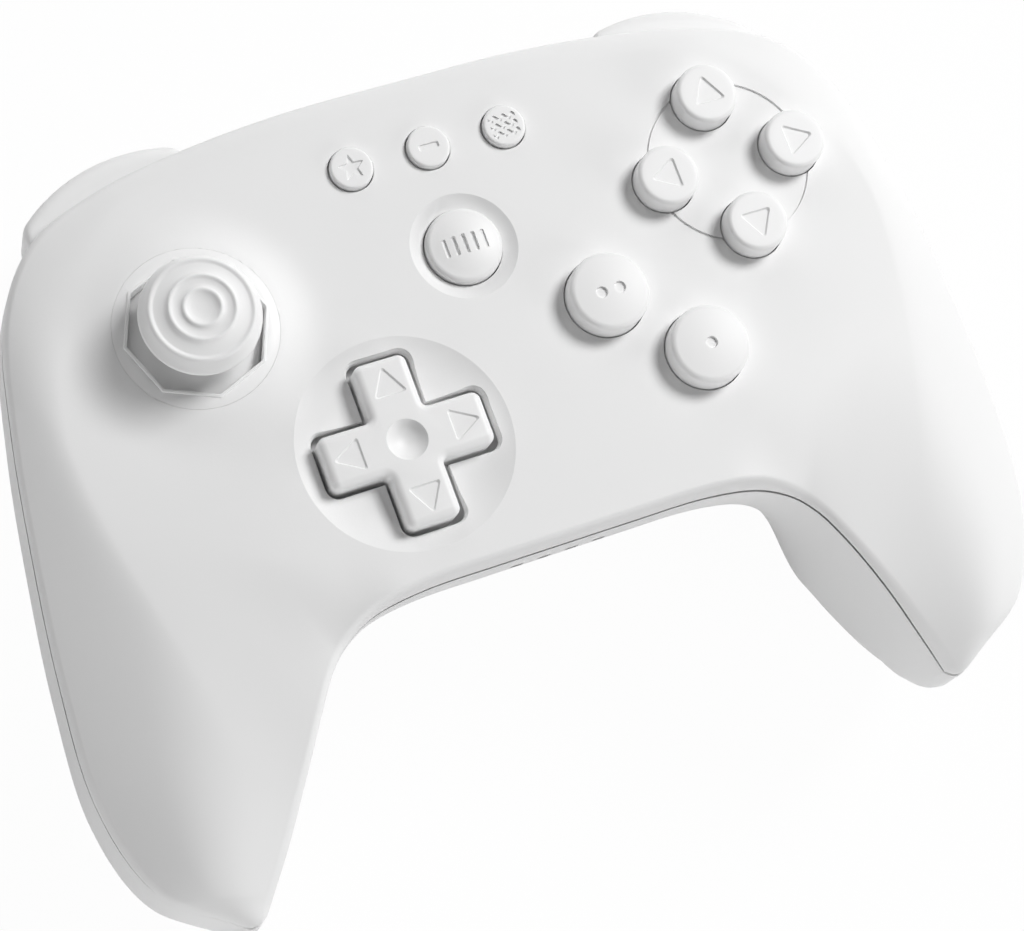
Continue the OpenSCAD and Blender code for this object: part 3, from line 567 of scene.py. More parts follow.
def skin(outside, inside):
    """Closed shell between a fine outer grid and an inner grid of half its steps."""
    m, n = outside.shape[0] - 1, outside.shape[1] - 1
    h, k = inside.shape[0] - 1, inside.shape[1] - 1
    base = (m + 1) * (n + 1)
    grid_o = np.arange(base).reshape(m + 1, n + 1)
    grid_i = base + np.arange((h + 1) * (k + 1)).reshape(h + 1, k + 1)
    faces = []
    for grid in (grid_o, grid_i):
        quads = np.stack([grid[:-1, :-1], grid[:-1, 1:], grid[1:, 1:], grid[1:, :-1]], -1)
        faces += quads.reshape(-1, 4).tolist()
    rims = [(grid_o[:, 0], grid_i[:, 0]), (grid_o[:, -1], grid_i[:, -1]),
            (grid_o[0], grid_i[0]), (grid_o[-1], grid_i[-1])]
    for o, i in rims:
        for q in range(len(i) - 1):
            faces += [[o[2 * q], o[2 * q + 1], i[q]], [o[2 * q + 1], i[q + 1], i[q]],
                      [o[2 * q + 1], o[2 * q + 2], i[q + 1]]]
    verts = np.vstack([outside.reshape(-1, 3), inside.reshape(-1, 3)])
    return new_mesh(verts, faces)


def eased(n):
    """n steps from 0 to 1, closer together at both ends."""
    return (1 - np.cos(np.pi * np.arange(n + 1) / n)) / 2


def soften_rim(outside, inside):
    """Draws the outer rim a little toward the inner one, so that the seam has slanted lips."""
    for pick in ((slice(None), 0), (slice(None), -1), (0, slice(None)), (-1, slice(None))):
        coarse = inside[pick]
        fine = np.empty_like(outside[pick])
        fine[::2] = coarse
        fine[1::2] = (coarse[:-1] + coarse[1:]) / 2
        outside[pick] += (fine - outside[pick]) * RIM_DRAW


def shell_grids(points, b):
    """Outer and inner grids of a shell, before its features."""
    s, t = np.meshgrid(np.linspace(-1, 1, ACROSS + 1), eased(DOWN), indexing="ij")
    outside = points(b, s, t, 0.0)
    s, t = np.meshgrid(np.linspace(-1, 1, ACROSS // 2 + 1), eased(DOWN // 2), indexing="ij")
    inside = points(b, s, t, b.wall)
    soften_rim(outside, inside)
    return outside, inside


def group_places(n):
    """The four buttons of the group: up, right, down, left."""
    x, y = n.c_x - n.c_shift, n.c_y - n.c_shift
    return [(x, y + n.c_ring), (x + n.c_ring, y), (x, y - n.c_ring), (x - n.c_ring, y)]


NOOK_R = 0.9


def cross_outline(half, arm, tip_r, nook_r, grow=0.0):
    """Plan of the cross pad with rounded corners, grown all round."""
    h, a = half + grow, arm + grow
    points = [(a, a), (a, h), (-a, h), (-a, a), (-h, a), (-h, -a),
              (-a, -a), (-a, -h), (a, -h), (a, -a), (h, -a), (h, a)]
    tips, nook = max(0.1, tip_r + grow), max(0.1, nook_r - grow)
    return rounded(points, [nook, tips, tips] * 4)


BELOW, ABOVE = -15, 9  # ends of the cutters of the holes


def mouth(x, y, r, top, flare=0.14):
    """Cutter of a round hole with a softened mouth at the height top."""
    arc = [(r + flare * (1 - math.cos(a)), top - flare + flare * math.sin(a))
           for a in np.radians([0, 25, 50, 72, 90])]
    profile = [(0, BELOW), (r, BELOW), *arc, (r + flare, top + ABOVE), (0, top + ABOVE)]
    return lathe(profile, shift(x, y), 96)


def dish(x, y, r, d, face, power):
    """Cutter of a shallow round bowl with a crisp rim at the height face."""
    bowl = [(r * q, face - d * (1 - q ** power)) for q in np.linspace(0, 1, 33)]
    brim = [(r + 0.3, face + 0.1), (r + 0.3, face + 4), (0, face + 4)]
    return lathe(bowl + brim, shift(x, y), 192)


RING_EDGE, RING_GAP = 0.8, 0.03  # the gate ring's top above the collar, and the gap round it
COLLAR_GAP, COLLAR_REACH = 0.2, 8
START_DISH_DROP = 0.88  # depth of the middle dish at the button's hole
GROOVE_FLOOR, GROOVE_TOP, GROOVE_DEPTH = 0.2, 0.24, 0.35  # half widths and depth


def front_shell(b, k, p, n):
    """Front shell with the collar of the stick, the dishes, the groove and the button holes."""
    outside, inside = shell_grids(front_points, b)
    x, y = outside[..., 0], outside[..., 1]
    r = np.hypot(x - k.x, y - k.y)
    u = np.clip((r - k.gate_r - COLLAR_GAP) / COLLAR_REACH, 0, 1)
    outside[..., 2] += (k.gate_h - RING_EDGE) * (1 - u) ** 3 * (1 + 0.9 * u)
    mesh = cut(skin(outside, inside), dish(p.x, p.y, p.dish_r, p.dish_d, b.face_h, power=3.5),
               dish(0, n.start_y, n.start_dish_r, n.start_dish_d, b.face_h, power=2))
    holes = [mouth(cx, cy, n.c_r + n.gap, b.face_h) for cx, cy in group_places(n)]
    holes += [mouth(n.a_x, n.a_y, n.ab_r + n.gap, b.face_h),
              mouth(n.b_x, n.b_y, n.ab_r + n.gap, b.face_h),
              mouth(0, n.start_y, n.start_r + n.gap, b.face_h - START_DISH_DROP, flare=0.15),
              mouth(k.x, k.y, k.gate_r + RING_GAP, b.face_h + k.gate_h - RING_EDGE, flare=0.02)]
    holes += [mouth(i * n.menu_pitch, n.menu_y, n.menu_r + n.gap, b.face_h, flare=0.2)
              for i in (-1, 0, 1)]
    rings = []
    low = b.face_h - p.dish_d
    for z, grow in ((-9, 0), (low - 0.1, 0), (low + 0.25, 0.1), (low + 0.6, 0.35), (20, 0.6)):
        rings.append([(px + p.x + p.play, py + p.y + p.play, z) for px, py in
                      cross_outline(p.half, p.arm, 1.0, NOOK_R, p.gap + p.play + grow)])
    holes.append(loft(rings))
    mesh = cut(mesh, joined(holes))
    floor = b.face_h - GROOVE_DEPTH
    groove = [(n.groove_r - GROOVE_TOP, b.face_h + 1), (n.groove_r - GROOVE_FLOOR, floor),
              (n.groove_r + GROOVE_FLOOR, floor), (n.groove_r + GROOVE_TOP, b.face_h + 1)]
    return cut(mesh, turned_ring(groove, shift(n.c_x, n.c_y), 192))


def inner_fill(b):
    """Solid that fills both shells to the middle of their walls."""
    s, t = np.meshgrid(np.linspace(-1, 1, 161), eased(80), indexing="ij")
    lower = rear_points(b, s, t, b.wall / 2)
    return skin(lower, front_points(b, s[::2, ::2], t[::2, ::2], b.wall / 2))


# Across, up and height of the heads of the screws on the right half
SCREWS = ((28, 46, -11.6), (33, -13, -11.6), (62, -36, -20))
POST_R, POST_FOOT, POST_RISE = 4.2, -60, 5.8
BORE_FOOT, HEAD_BORE_R, THREAD_BORE_R, THREAD_BORE = -70, 2.9, 1.3, 12
WINDOW_LOW, WINDOW_HIGH, WINDOW_NEAR, WINDOW_FAR = -30, 3, -6.6, 30
LIGHTS, LIGHT_PITCH, LIGHT_D = (-1.5, -0.5, 0.5, 1.5), 4.5, 6.1
SOCKET_HALF, SOCKET_D = (5.4, 2.15), 7.6
SMALL_D, KNOB_X, PAIR_X, PAIR_R = 8, -13.5, 13, 2.1


def rounded_box(half, low, high, radii):
    """Outline of a box with rounded corners, even to both sides."""
    return rounded([(-half, low), (half, low), (half, high), (-half, high)], radii)


def slot_outline(half_w, half_h, steps_each=10):
    """Slot with round ends, in the plane of x and z."""
    out = []
    for side, start in ((1, -90), (-1, 90)):
        for i in range(steps_each + 1):
            a = math.radians(start + 180 * i / steps_each)
            out.append((side * (half_w - half_h) + half_h * math.cos(a), half_h * math.sin(a)))
    return out


def rear_shell(b, s):
    """Rear shell with its flats on the table, screw posts and the openings in its edges."""
    outside, inside = shell_grids(rear_points, b)
    to_table = np.array(lay())
    up = np.array(Matrix.Rotation(b.rest_tilt, 3, "X")) @ np.array((0, 0, 1))
    for grid, floor in ((outside, 0.0), (inside, b.wall)):
        height = (grid @ to_table[2, :3] + to_table[2, 3]) / MM
        grid += np.maximum(0, floor - height)[..., None] * up
    mesh = skin(outside, inside)
    posts, bores = [], []
    for side, _ in SIDES:
        for x, y, seat in SCREWS:
            posts.append(rod((side * x, y, POST_FOOT), POST_R, seat + POST_RISE - POST_FOOT))
            bores.append(lathe([(0, BORE_FOOT), (HEAD_BORE_R, BORE_FOOT), (HEAD_BORE_R, seat),
                                (THREAD_BORE_R, seat), (THREAD_BORE_R, seat + THREAD_BORE),
                                (0, seat + THREAD_BORE)], shift(side * x, y), 48))
    mesh = cut(add(mesh, common(inner_fill(b), joined(posts))), joined(bores))
    back, front = b.top_y, b.bottom_y
    window = rounded_box(s.half, WINDOW_LOW, WINDOW_HIGH, [1, 1, 0.2, 0.2])
    for side, _ in SIDES:
        mesh = cut(mesh, through(window, WINDOW_NEAR, WINDOW_FAR, shoulder(side)))
    light = rounded_box(1, -0.55, 1.5, [0.4] * 4)
    for i in LIGHTS:
        place = shift(i * LIGHT_PITCH, 0, -LIGHT_D)
        mesh = cut(mesh, through(light, front - 4, front + 5, place))
    knob = rounded_box(4.5, -1.4, 1.4, [0.5] * 4)
    socket = slot_outline(*SOCKET_HALF)
    return cut(mesh, through(socket, back - 6, back + 9, shift(0, 0, -SOCKET_D)),
               through(knob, back - 8, back + 9, shift(KNOB_X, 0, -SMALL_D)),
               rod((PAIR_X, back - 8, -SMALL_D), PAIR_R, 20, ALONG_Y))


def marks_star(r, waist=0.45):
    """Five-pointed star."""
    points = []
    for i in range(10):
        reach, turn = r * (waist if i % 2 else 1), math.pi * i / 5
        points.append((reach * math.sin(turn), reach * math.cos(turn)))
    return rounded(points[::-1], [0.12] * 10, 3)


def marks_wave(width, height, thick, waves=3, n=36):
    """One wavy line as a closed outline."""
    xs = np.linspace(-width / 2, width / 2, n)
    ys = height * np.sin(xs / width * waves * 2 * math.pi)
    upper = [(x, y + thick / 2) for x, y in zip(xs, ys)]
    lower = [(x, y - thick / 2) for x, y in zip(xs, ys)]
    return lower + upper[::-1]


def triangle(r, turn, corner=0.35):
    """Arrow: an even triangle with one corner at the angle turn."""
    points = [(r * math.cos(turn + a), r * math.sin(turn + a))
              for a in (0, 2 * math.pi / 3, 4 * math.pi / 3)]
    return rounded(points, [corner] * 3, 5)


def sunk(outline, floor, top, place=None, draft=0.15):
    """Cutter of a mark whose walls slant outward from its floor to the surface at top."""
    mid = np.mean(outline, axis=0)
    rings = []
    for z, k in ((floor, 1 - draft), (top, 1), (2 * top - floor, 1 + draft)):
        rings.append([(*(mid + (np.array(q) - mid) * k), z) for q in outline])
    return loft(rings, place)


def bar(w, h, x=0.0):
    """Bar with rounded corners."""
    corners = [(x - w / 2, -h / 2), (x + w / 2, -h / 2), (x + w / 2, h / 2), (x - w / 2, h / 2)]
    return rounded(corners, [min(w, h) * 0.3] * 4, 4)


def dot(r, x=0.0):
    """Round dot."""
    return [(x + r * math.cos(a), r * math.sin(a)) for a in np.arange(40) * math.pi / 20]


def round_button(n, r, top, fillet, rise, marks, place, straight=False):
    """Flanged button with a rounded rim, a low crown and sunk marks, slanted or straight."""
    arc = [(r - fillet + fillet * math.cos(a), top - fillet + fillet * math.sin(a))
           for a in np.radians(np.arange(0, 90, 9))]
    flat = r - fillet
    crowned = [(flat * q, top + rise * (1 - q * q)) for q in (1, 0.85, 0.7, 0.55, 0.4, 0.25, 0.12)]
    low = n.seat - 1
    profile = [(0, low), (r + n.flange, low), (r + n.flange, n.seat), (r, n.seat),
               *arc, *crowned, (0, top + rise)]
    level = top + rise * 0.6
    floor = level - n.mark
    cutters = [prism(m, floor, top + 5) if straight else sunk(m, floor, level + rise * 0.4)
               for m in marks]
    return moved(cut(lathe(profile, None, 128), joined(cutters)), shift(*place))


# Finishes

def shader_node(tree, kind, **values):
    """A new node of a shader tree with some of its inputs set."""
    node = tree.nodes.new(kind)
    for label, value in values.items():
        node.inputs[label.replace("_", " ")].default_value = value
    return node


TONE_SCALE = 60
RELIEF_DEPTH = 0.0002


def finish(name, rgb, rough, grain, bump, spread, tone, metal=0.0):
    """Moulded or metal finish: fine grain in the surface, soft change of tone and gloss."""
    material = bpy.data.materials.new(name)
    material.use_nodes = True
    tree = material.node_tree
    join, shader = tree.links.new, tree.nodes["Principled BSDF"]
    shader.inputs["Metallic"].default_value = metal
    where = tree.nodes.new("ShaderNodeTexCoord")
    fine = shader_node(tree, "ShaderNodeTexNoise", Scale=grain, Detail=3)
    broad = shader_node(tree, "ShaderNodeTexNoise", Scale=TONE_SCALE, Detail=2)
    for noise in (fine, broad):
        join(where.outputs["Object"], noise.inputs["Vector"])
    tint = tree.nodes.new("ShaderNodeMix")
    tint.data_type = "RGBA"
    tint.inputs["A"].default_value = (*[c * (1 - tone) for c in rgb], 1)
    tint.inputs["B"].default_value = (*[min(1, c * (1 + tone)) for c in rgb], 1)
    join(broad.outputs["Fac"], tint.inputs["Factor"])
    join(tint.outputs["Result"], shader.inputs["Base Color"])
    gloss = shader_node(tree, "ShaderNodeMapRange", To_Min=max(0.02, rough - spread),
                        To_Max=min(1, rough + spread))
    join(fine.outputs["Fac"], gloss.inputs["Value"])
    join(gloss.outputs["Result"], shader.inputs["Roughness"])
    relief = shader_node(tree, "ShaderNodeBump", Strength=bump, Distance=RELIEF_DEPTH)
    join(fine.outputs["Fac"], relief.inputs["Height"])
    join(relief.outputs["Normal"], shader.inputs["Normal"])
    return material


# For each slot: colour, roughness, scale of the grain, its relief, spread of the gloss and of
# the tone, and how far it is metal
LOOKS = {
    "shell_white": ("shell", 0.55, 2600, 0.035, 0.07, 0.008),
    "control_white": ("control", 0.45, 3000, 0.02, 0.05, 0.008),
    "cap_white": ("cap", 0.6, 3400, 0.04, 0.06, 0.01),
    "grey_plastic": ("dome", 0.45, 2600, 0.02, 0.06, 0.01),
    "ivory_plastic": ("ivory", 0.5, 2200, 0.03, 0.06, 0.02),
    "black_plastic": ("dark", 0.5, 2200, 0.05, 0.08, 0.1),
    "grey_rubber": ("rubber", 0.75, 1800, 0.06, 0.08, 0.05),
    "steel": ("steel", 0.32, 1400, 0.03, 0.1, 0.05, 1.0),
    "weight_brass": ("brass", 0.35, 1200, 0.04, 0.1, 0.06, 1.0),
    "board_green": ("board", 0.35, 900, 0.04, 0.1, 0.15),
    "cell_foil": ("foil", 0.4, 700, 0.08, 0.1, 0.05, 0.8),
    "clear_guide": ("light", 0.15, 1200, 0.01, 0.05, 0.03),
}


# Operators

class PieceOperator:
    """Shared by the operators that build pieces."""

    bl_options = {"REGISTER", "UNDO"}


class CONTROLLER_OT_finishes(PieceOperator, bpy.types.Operator):
    """Makes the finishes and gives them to the nodes that are carried over from the frame."""

    bl_idname = "controller.finishes"
    bl_label = "Finishes"

    def execute(self, context):
        colours = context.scene.controller_finishes
        for slot, (key, *look) in LOOKS.items():
            FINISH[slot] = finish(slot, getattr(colours, key), *look)
        for entry in frame["record"]["subparts"]:
            mesh = frame["nodes"][entry["node"]].data
            mesh.materials.clear()
            mesh.materials.append(FINISH[entry["material_slot"]])
        return {"FINISHED"}


class CONTROLLER_OT_shells(PieceOperator, bpy.types.Operator):
    """Front and rear shell with their seam, holes, dishes and openings."""

    bl_idname = "controller.shells"
    bl_label = "Shells"

    def execute(self, context):
        b, k = sizes("controller_body"), sizes("controller_stick")
        p, n = sizes("controller_pad"), sizes("controller_buttons")
        s = sizes("controller_shoulders")
        piece("front_cover", front_shell(b, k, p, n), "case", "front_shell", "shell_white", 14)
        piece("rear_cover", rear_shell(b, s), "case", "rear_shell", "shell_white")
        return {"FINISHED"}


def eight_sided(k, levels):
    """Eight-sided solid about the stick through heights, each with its growth past the opening."""
    rings = []
    for z, grow in levels:
        r = k.gate_open_r + grow
        corner = [(r * math.cos(a), r * math.sin(a)) for a in np.arange(8) * math.pi / 4]
        rings.append([(x + k.x, y + k.y, z) for x, y in rounded(corner, [0.5] * 8, 4)])
    return loft(rings)


def dome_arc(r, start, stop, step):
    """Points of an arc about the pivot, by angles from the axis in degrees."""
    return [(r * math.sin(a), r * math.cos(a)) for a in np.radians(np.arange(start, stop, step))]


RING_DEPTH, RING_FLANGE = 3.6, 1.8
DOME_GAP, DOME_T = 0.25, 0.9
CAP_FOOT, CAP_BORE = 3.5, 1.8
# Ridges of the stick cap from the rim inward: radius, and height in parts of the crown
CAP_RIDGES = (
    (8.2, 0.32), (8.0, 0.46), (7.86, 0.58), (7.72, 0.65), (7.56, 0.685), (7.38, 0.69),
    (7.2, 0.675), (7.04, 0.65), (6.8, 0.645), (5.7, 0.755), (5.3, 0.81), (5.12, 0.87),
    (5.0, 0.925), (4.87, 0.955), (4.72, 0.96), (4.56, 0.945), (4.42, 0.91), (4.2, 0.885),
    (3.6, 0.875), (3.2, 0.89), (3.02, 0.925), (2.9, 0.97), (2.76, 0.995), (2.62, 1),
    (2.46, 0.98), (2.3, 0.94), (2.0, 0.885), (1.5, 0.845), (0.8, 0.825), (0, 0.82),
)


class CONTROLLER_OT_thumb_stick(PieceOperator, bpy.types.Operator):
    """Gate ring, ridged cap and dust dome of the thumb stick."""

    bl_idname = "controller.thumb_stick"
    bl_label = "Thumb stick"

    def execute(self, context):
        b, k = sizes("controller_body"), sizes("controller_stick")
        pivot = shift(k.x, k.y, b.face_h - k.pivot_d)
        top, low = b.face_h + k.gate_h, b.face_h - RING_DEPTH
        rim, seat, flange = top - RING_EDGE, b.face_h - b.wall - 0.1, k.gate_r + RING_FLANGE
        ring = lathe([(0, low), (flange, low), (flange, seat), (k.gate_r, seat), (k.gate_r, rim),
                      (k.gate_open_r + 0.9, top - 0.3), (0, top - 0.3)], shift(k.x, k.y), 128)
        ball = k.dome_r + DOME_GAP
        quarter = [(ball * math.cos(a), ball * math.sin(a))
                   for a in np.radians(np.arange(0, 88, 3))]
        hollow = lathe([(0, 0), *quarter, (0, ball)], pivot, 128)
        lip = eight_sided(k, ((top - 0.6, 1.0), (top - 0.25, 0.98), (top - 0.08, 0.93), (top, 0.8)))
        hole = eight_sided(k, ((0, 0.45), (top - 0.4, 0.45), (top - 0.1, 0.48), (top + 0.01, 0.56),
                               (top + 5, 0.56)))
        ring = cut(add(ring, lip), hollow, hole)
        piece("stick_gate_ring", ring, "case", "stick_gate", "control_white")
        h, c, r = k.cap_h + k.pivot_d, k.cap_crown, k.cap_r
        foot, bore = h - CAP_FOOT, h - CAP_BORE
        profile = [(0, bore), (k.lever_r, bore), (k.lever_r, foot), (3, foot), (3.4, h - 3.1),
                   (r - 1.2, h - 1.6), (r - 0.4, h - 1.25), (r - 0.1, h - 1), (r, h - 0.7),
                   (r, h - 0.35), (r - 0.06, h - 0.1), (r - 0.22, h + 0.05 * c),
                   (r - 0.45, h + 0.15 * c), *((x, h + share * c) for x, share in CAP_RIDGES)]
        piece("stick_top", lathe(profile, pivot, 128), "stick", "stick_cap", "cap_white", 50)
        ring = [(k.lever_r, foot), (3, foot), (3, k.dome_r * 0.98),
                *dome_arc(k.dome_r, 15, 73, 2.5), *dome_arc(k.dome_r - DOME_T, 72.5, 22, -2.5),
                (4, 9.6), (4, 8.2), (k.lever_r, 8.2)]
        piece("stick_skirt", turned_ring(ring, pivot), "stick", "stick_dome", "grey_plastic", 40)
        return {"FINISHED"}


PAD_SKIRT, PAD_SKIRT_LOW = 2.4, -0.4
EAR_HALF, EAR_Y, EAR_T, EAR_LOW = 1.4, 5.4, 0.6, -2.8
PAD_PIN_Z, PAD_PIN_R = -1.8, 0.56
THUMB_R, THUMB_SAG = 3.1, 1.5
ARROW_R, ARROW_INSET = 3.1, 4.2


class CONTROLLER_OT_cross_pad(PieceOperator, bpy.types.Operator):
    """Cross pad with rounded arms, sunk arrows and a thumb hollow."""

    bl_idname = "controller.cross_pad"
    bl_label = "Cross pad"

    def execute(self, context):
        b, p = sizes("controller_body"), sizes("controller_pad")
        n = sizes("controller_buttons")
        top, f = b.face_h + p.rise, p.fillet
        rings = []
        levels = [(0, 0)] + [(top - f + f * math.sin(a), f * (1 - math.cos(a)))
                             for a in np.radians(np.arange(0, 91, 10))]
        for z, inset in levels:
            rings.append([(x - p.lean, y, z)
                          for x, y in cross_outline(p.half, p.arm, 1.3, NOOK_R, -inset)])
        mesh = loft(rings)
        low, skirt = PAD_SKIRT_LOW, p.half + PAD_SKIRT
        mesh = add(mesh, lathe([(0, low), (skirt, low), (skirt, low + 1), (0, low + 1)], None, 128))
        for side, _ in SIDES:
            mesh = add(mesh, block((-EAR_HALF, side * EAR_Y - EAR_T, EAR_LOW),
                                   (EAR_HALF, side * EAR_Y + EAR_T, low + 0.2)))
        mesh = cut(mesh, rod((0, -9, PAD_PIN_Z), PAD_PIN_R, 18, ALONG_Y))
        sag, r = THUMB_SAG, THUMB_R
        ball = (r * r + sag * sag) / (2 * sag)
        bowl = [(r * q, top - sag + ball - math.sqrt(ball ** 2 - (r * q) ** 2))
                for q in np.linspace(0, 1, 14)]
        brim = [(r + 0.05, top + 2), (0, top + 2)]
        reach = p.half - ARROW_INSET
        marks = [sunk(triangle(ARROW_R, a), top - n.mark, top,
                      shift(reach * math.cos(a) - p.lean, reach * math.sin(a)))
                 for a in np.arange(4) * math.pi / 2]
        mesh = cut(mesh, lathe(bowl + brim, shift(-p.lean, 0), 96), joined(marks))
        mesh.transform(shift(p.x, p.y))
        piece("cross_pad", mesh, "pad", "pad_cross", "control_white")
        return {"FINISHED"}


DOT_R, DOT_X = 0.95, 1.5
BAR_W, BAR_H, BAR_PITCH, MINUS = 0.7, 3.2, 1.55, (3.3, 1)
STAR_R, WAVE, WAVE_PITCH = 2.3, (4.4, 0.3, 0.6), 1.3


class CONTROLLER_OT_round_buttons(PieceOperator, bpy.types.Operator):
    """Main buttons, the group of four, the middle button and the small row."""

    bl_idname = "controller.round_buttons"
    bl_label = "Round buttons"

    def execute(self, context):
        b, n = sizes("controller_body"), sizes("controller_buttons")
        up = b.face_h
        large = (n.ab_r, up + n.ab_h - 0.3, 0.9, 0.3)
        small = (n.menu_r, up + n.menu_h, 0.4, 0)
        bars = [bar(BAR_W, BAR_H, (i - 2) * BAR_PITCH) for i in range(5)]
        waves = [[(x, y + WAVE_PITCH * i) for x, y in marks_wave(*WAVE)] for i in (-1, 0, 1)]
        made = {
            "a_button": (*large, [dot(DOT_R)], (n.a_x, n.a_y)),
            "b_button": (*large, [dot(DOT_R, -DOT_X), dot(DOT_R, DOT_X)], (n.b_x, n.b_y)),
            "start_button": (n.start_r, up + n.start_h - 0.6, 0.9, 0.6, bars, (0, n.start_y)),
            "menu_left": (*small, [marks_star(STAR_R)], (-n.menu_pitch, n.menu_y)),
            "menu_middle": (*small, [bar(*MINUS)], (0, n.menu_y)),
            "menu_right": (*small, waves, (n.menu_pitch, n.menu_y), True),
        }
        for name, turn, place in zip(GROUP_NAMES, (90, 0, -90, 180), group_places(n)):
            made[name] = (n.c_r, up + n.c_h, 0.7, 0, [triangle(ARROW_R, math.radians(turn))], place)
        for name, row in made.items():
            piece(name + "_key", round_button(n, *row), name, name, "control_white")
        return {"FINISHED"}


# Outlines of the flat rubber sheets
SHEETS = {
    "face_membrane": ((10.6, 6), (22, -7), (36, -7), (58, 18), (59, 34), (50, 41.6), (44, 43),
                      (38, 43), (28, 36), (26, 22), (10.6, 21)),
    "menu_membrane": ((-8, 20), (8, 20), (9, 36), (18, 38), (18, 48.4), (-18, 48.4), (-18, 38),
                      (-9, 36)),
}
# How far the buttons and the pad go down
MAIN_PRESS, START_PRESS, SMALL_PRESS, PAD_PRESS = 1.6, 1.0, 0.7, 0.7
DOME_SHARE, DOME_TOP = 0.7, 1.15  # radius in parts of the button's, top below its seat
PAD_DOME_AT, PAD_DOME_R, PAD_DOME_TOP, PAD_SHEET_R = 9.6, 2.2, -0.55, 6.8


class CONTROLLER_OT_rubber_sheets(PieceOperator, bpy.types.Operator):
    """Rubber sheets under the buttons and the pad, with their domes."""

    bl_idname = "controller.rubber_sheets"
    bl_label = "Rubber sheets"

    def execute(self, context):
        n, p = sizes("controller_buttons"), sizes("controller_pad")
        board = -n.board_d
        level = board + n.rubber_t
        for node, outline in SHEETS.items():
            mesh = prism(rounded(outline, [1.0] * len(outline)), board, level)
            piece(node.split("_")[0] + "_sheet", mesh, "case", node, "grey_rubber")
        rim = p.half + PAD_SKIRT
        ring = [(PAD_SHEET_R, board), (rim, board), (rim, level - 0.2), (rim - 0.2, level),
                (PAD_SHEET_R, level)]
        piece("pad_sheet", turned_ring(ring, shift(p.x, p.y)), "case", "pad_membrane",
              "grey_rubber")
        top = n.seat - DOME_TOP
        domes = [(name, place, n.c_r, MAIN_PRESS, "face_membrane")
                 for name, place in zip(GROUP_NAMES, group_places(n))]
        domes += [("a_button", (n.a_x, n.a_y), n.ab_r, MAIN_PRESS, "face_membrane"),
                  ("b_button", (n.b_x, n.b_y), n.ab_r, MAIN_PRESS, "face_membrane"),
                  ("start_button", (0, n.start_y), n.start_r, START_PRESS, "menu_membrane")]
        domes += [("menu_" + name, (i * n.menu_pitch, n.menu_y), n.menu_r, SMALL_PRESS,
                   "menu_membrane")
                  for i, name in ((-1, "left"), (0, "middle"), (1, "right"))]
        for name, place, r, press, node in domes:
            self.dome(name, place, r * DOME_SHARE, level, top, press, name + "_press", node)
        for name, x, y, joint in (("right", 1, 0, "side"), ("left", -1, 0, "side"),
                                  ("up", 0, 1, "fore"), ("down", 0, -1, "fore")):
            place = (p.x + x * PAD_DOME_AT, p.y + y * PAD_DOME_AT)
            self.dome("pad_" + name, place, PAD_DOME_R, level, PAD_DOME_TOP, PAD_PRESS,
                      "pad_tilt_" + joint, "pad_membrane")
        return {"FINISHED"}

    def dome(self, name, place, r, low, high, press, joint, node):
        """One dome from low to high. Its press and joint are not used."""
        profile = [(0, low - 0.05), (r, low - 0.05), (r, low + 0.15), (r * 0.93, low + 0.4),
                   (r * 0.8, high - 0.7), (r * 0.76, high - 0.25), (r * 0.72, high - 0.07),
                   (r * 0.66, high), (0, high)]
        obj = piece(name + "_dome", lathe(profile, shift(*place), 64), "case", node,
                    "grey_rubber")
        up = (lay().to_3x3() @ Vector((0, 0, 1))).normalized()
        tuple(lay() @ Vector((*place, low)))
        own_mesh(obj)


BUMPER_BACK, BUMPER_PIN = -5, (-11.6, -3.4, -20)
BUMPER_NOTCH = (-20, -6, -9), (-8.4, -0.6, -5)
TUCK, TUCK_REACH = 0.5, 1.2
HINGE_Y, HINGE_Z, HUB_X, HUB_R, HUB_LENGTH = -2.5, -16.5, -12.9, 2.9, 20.9
SPRING_X, SPRING_SEAT_R, SPRING_SEAT = 8, 3.4, 4.3
PIN_GAP, TRIGGER_INSET = 0.06, 1.2


def bowed_reach(s, x, half, out):
    """Reach of the bowed outside at x, with rounded ends."""
    mid = half - s.end_r
    drop = math.sqrt((s.bow - s.end_r) ** 2 - mid * mid)
    if abs(x) < mid * s.bow / (s.bow - s.end_r):
        return out - s.bow + math.sqrt(s.bow ** 2 - x * x)
    return out - s.bow + drop + math.sqrt(max(0.0, s.end_r ** 2 - (abs(x) - mid) ** 2))


def end_steps(half, round_r):
    """Places of the sections, close together at the rounded ends."""
    turn = np.linspace(0, math.pi / 2, 12)
    return np.concatenate([-half + round_r * (1 - np.cos(turn)),
                           np.linspace(-half + round_r, half - round_r, 40)[1:-1],
                           half - round_r * (1 - np.cos(turn[::-1]))])


def bowed_section(s, x, half, low, high):
    """Section of a shoulder button at x: rounded on the outside, flat at the back."""
    out = bowed_reach(s, x, half, s.out)
    tuck = TUCK * max(0.0, (abs(x) - half + TUCK_REACH) / TUCK_REACH) ** 2
    low, high = low + tuck, high - tuck
    corners = [(BUMPER_BACK, low), (out, low), (out, high), (BUMPER_BACK, high)]
    return [(x, y, z) for y, z in rounded(corners, [0.3, 1.2, 2.6, 0.3], 8)]


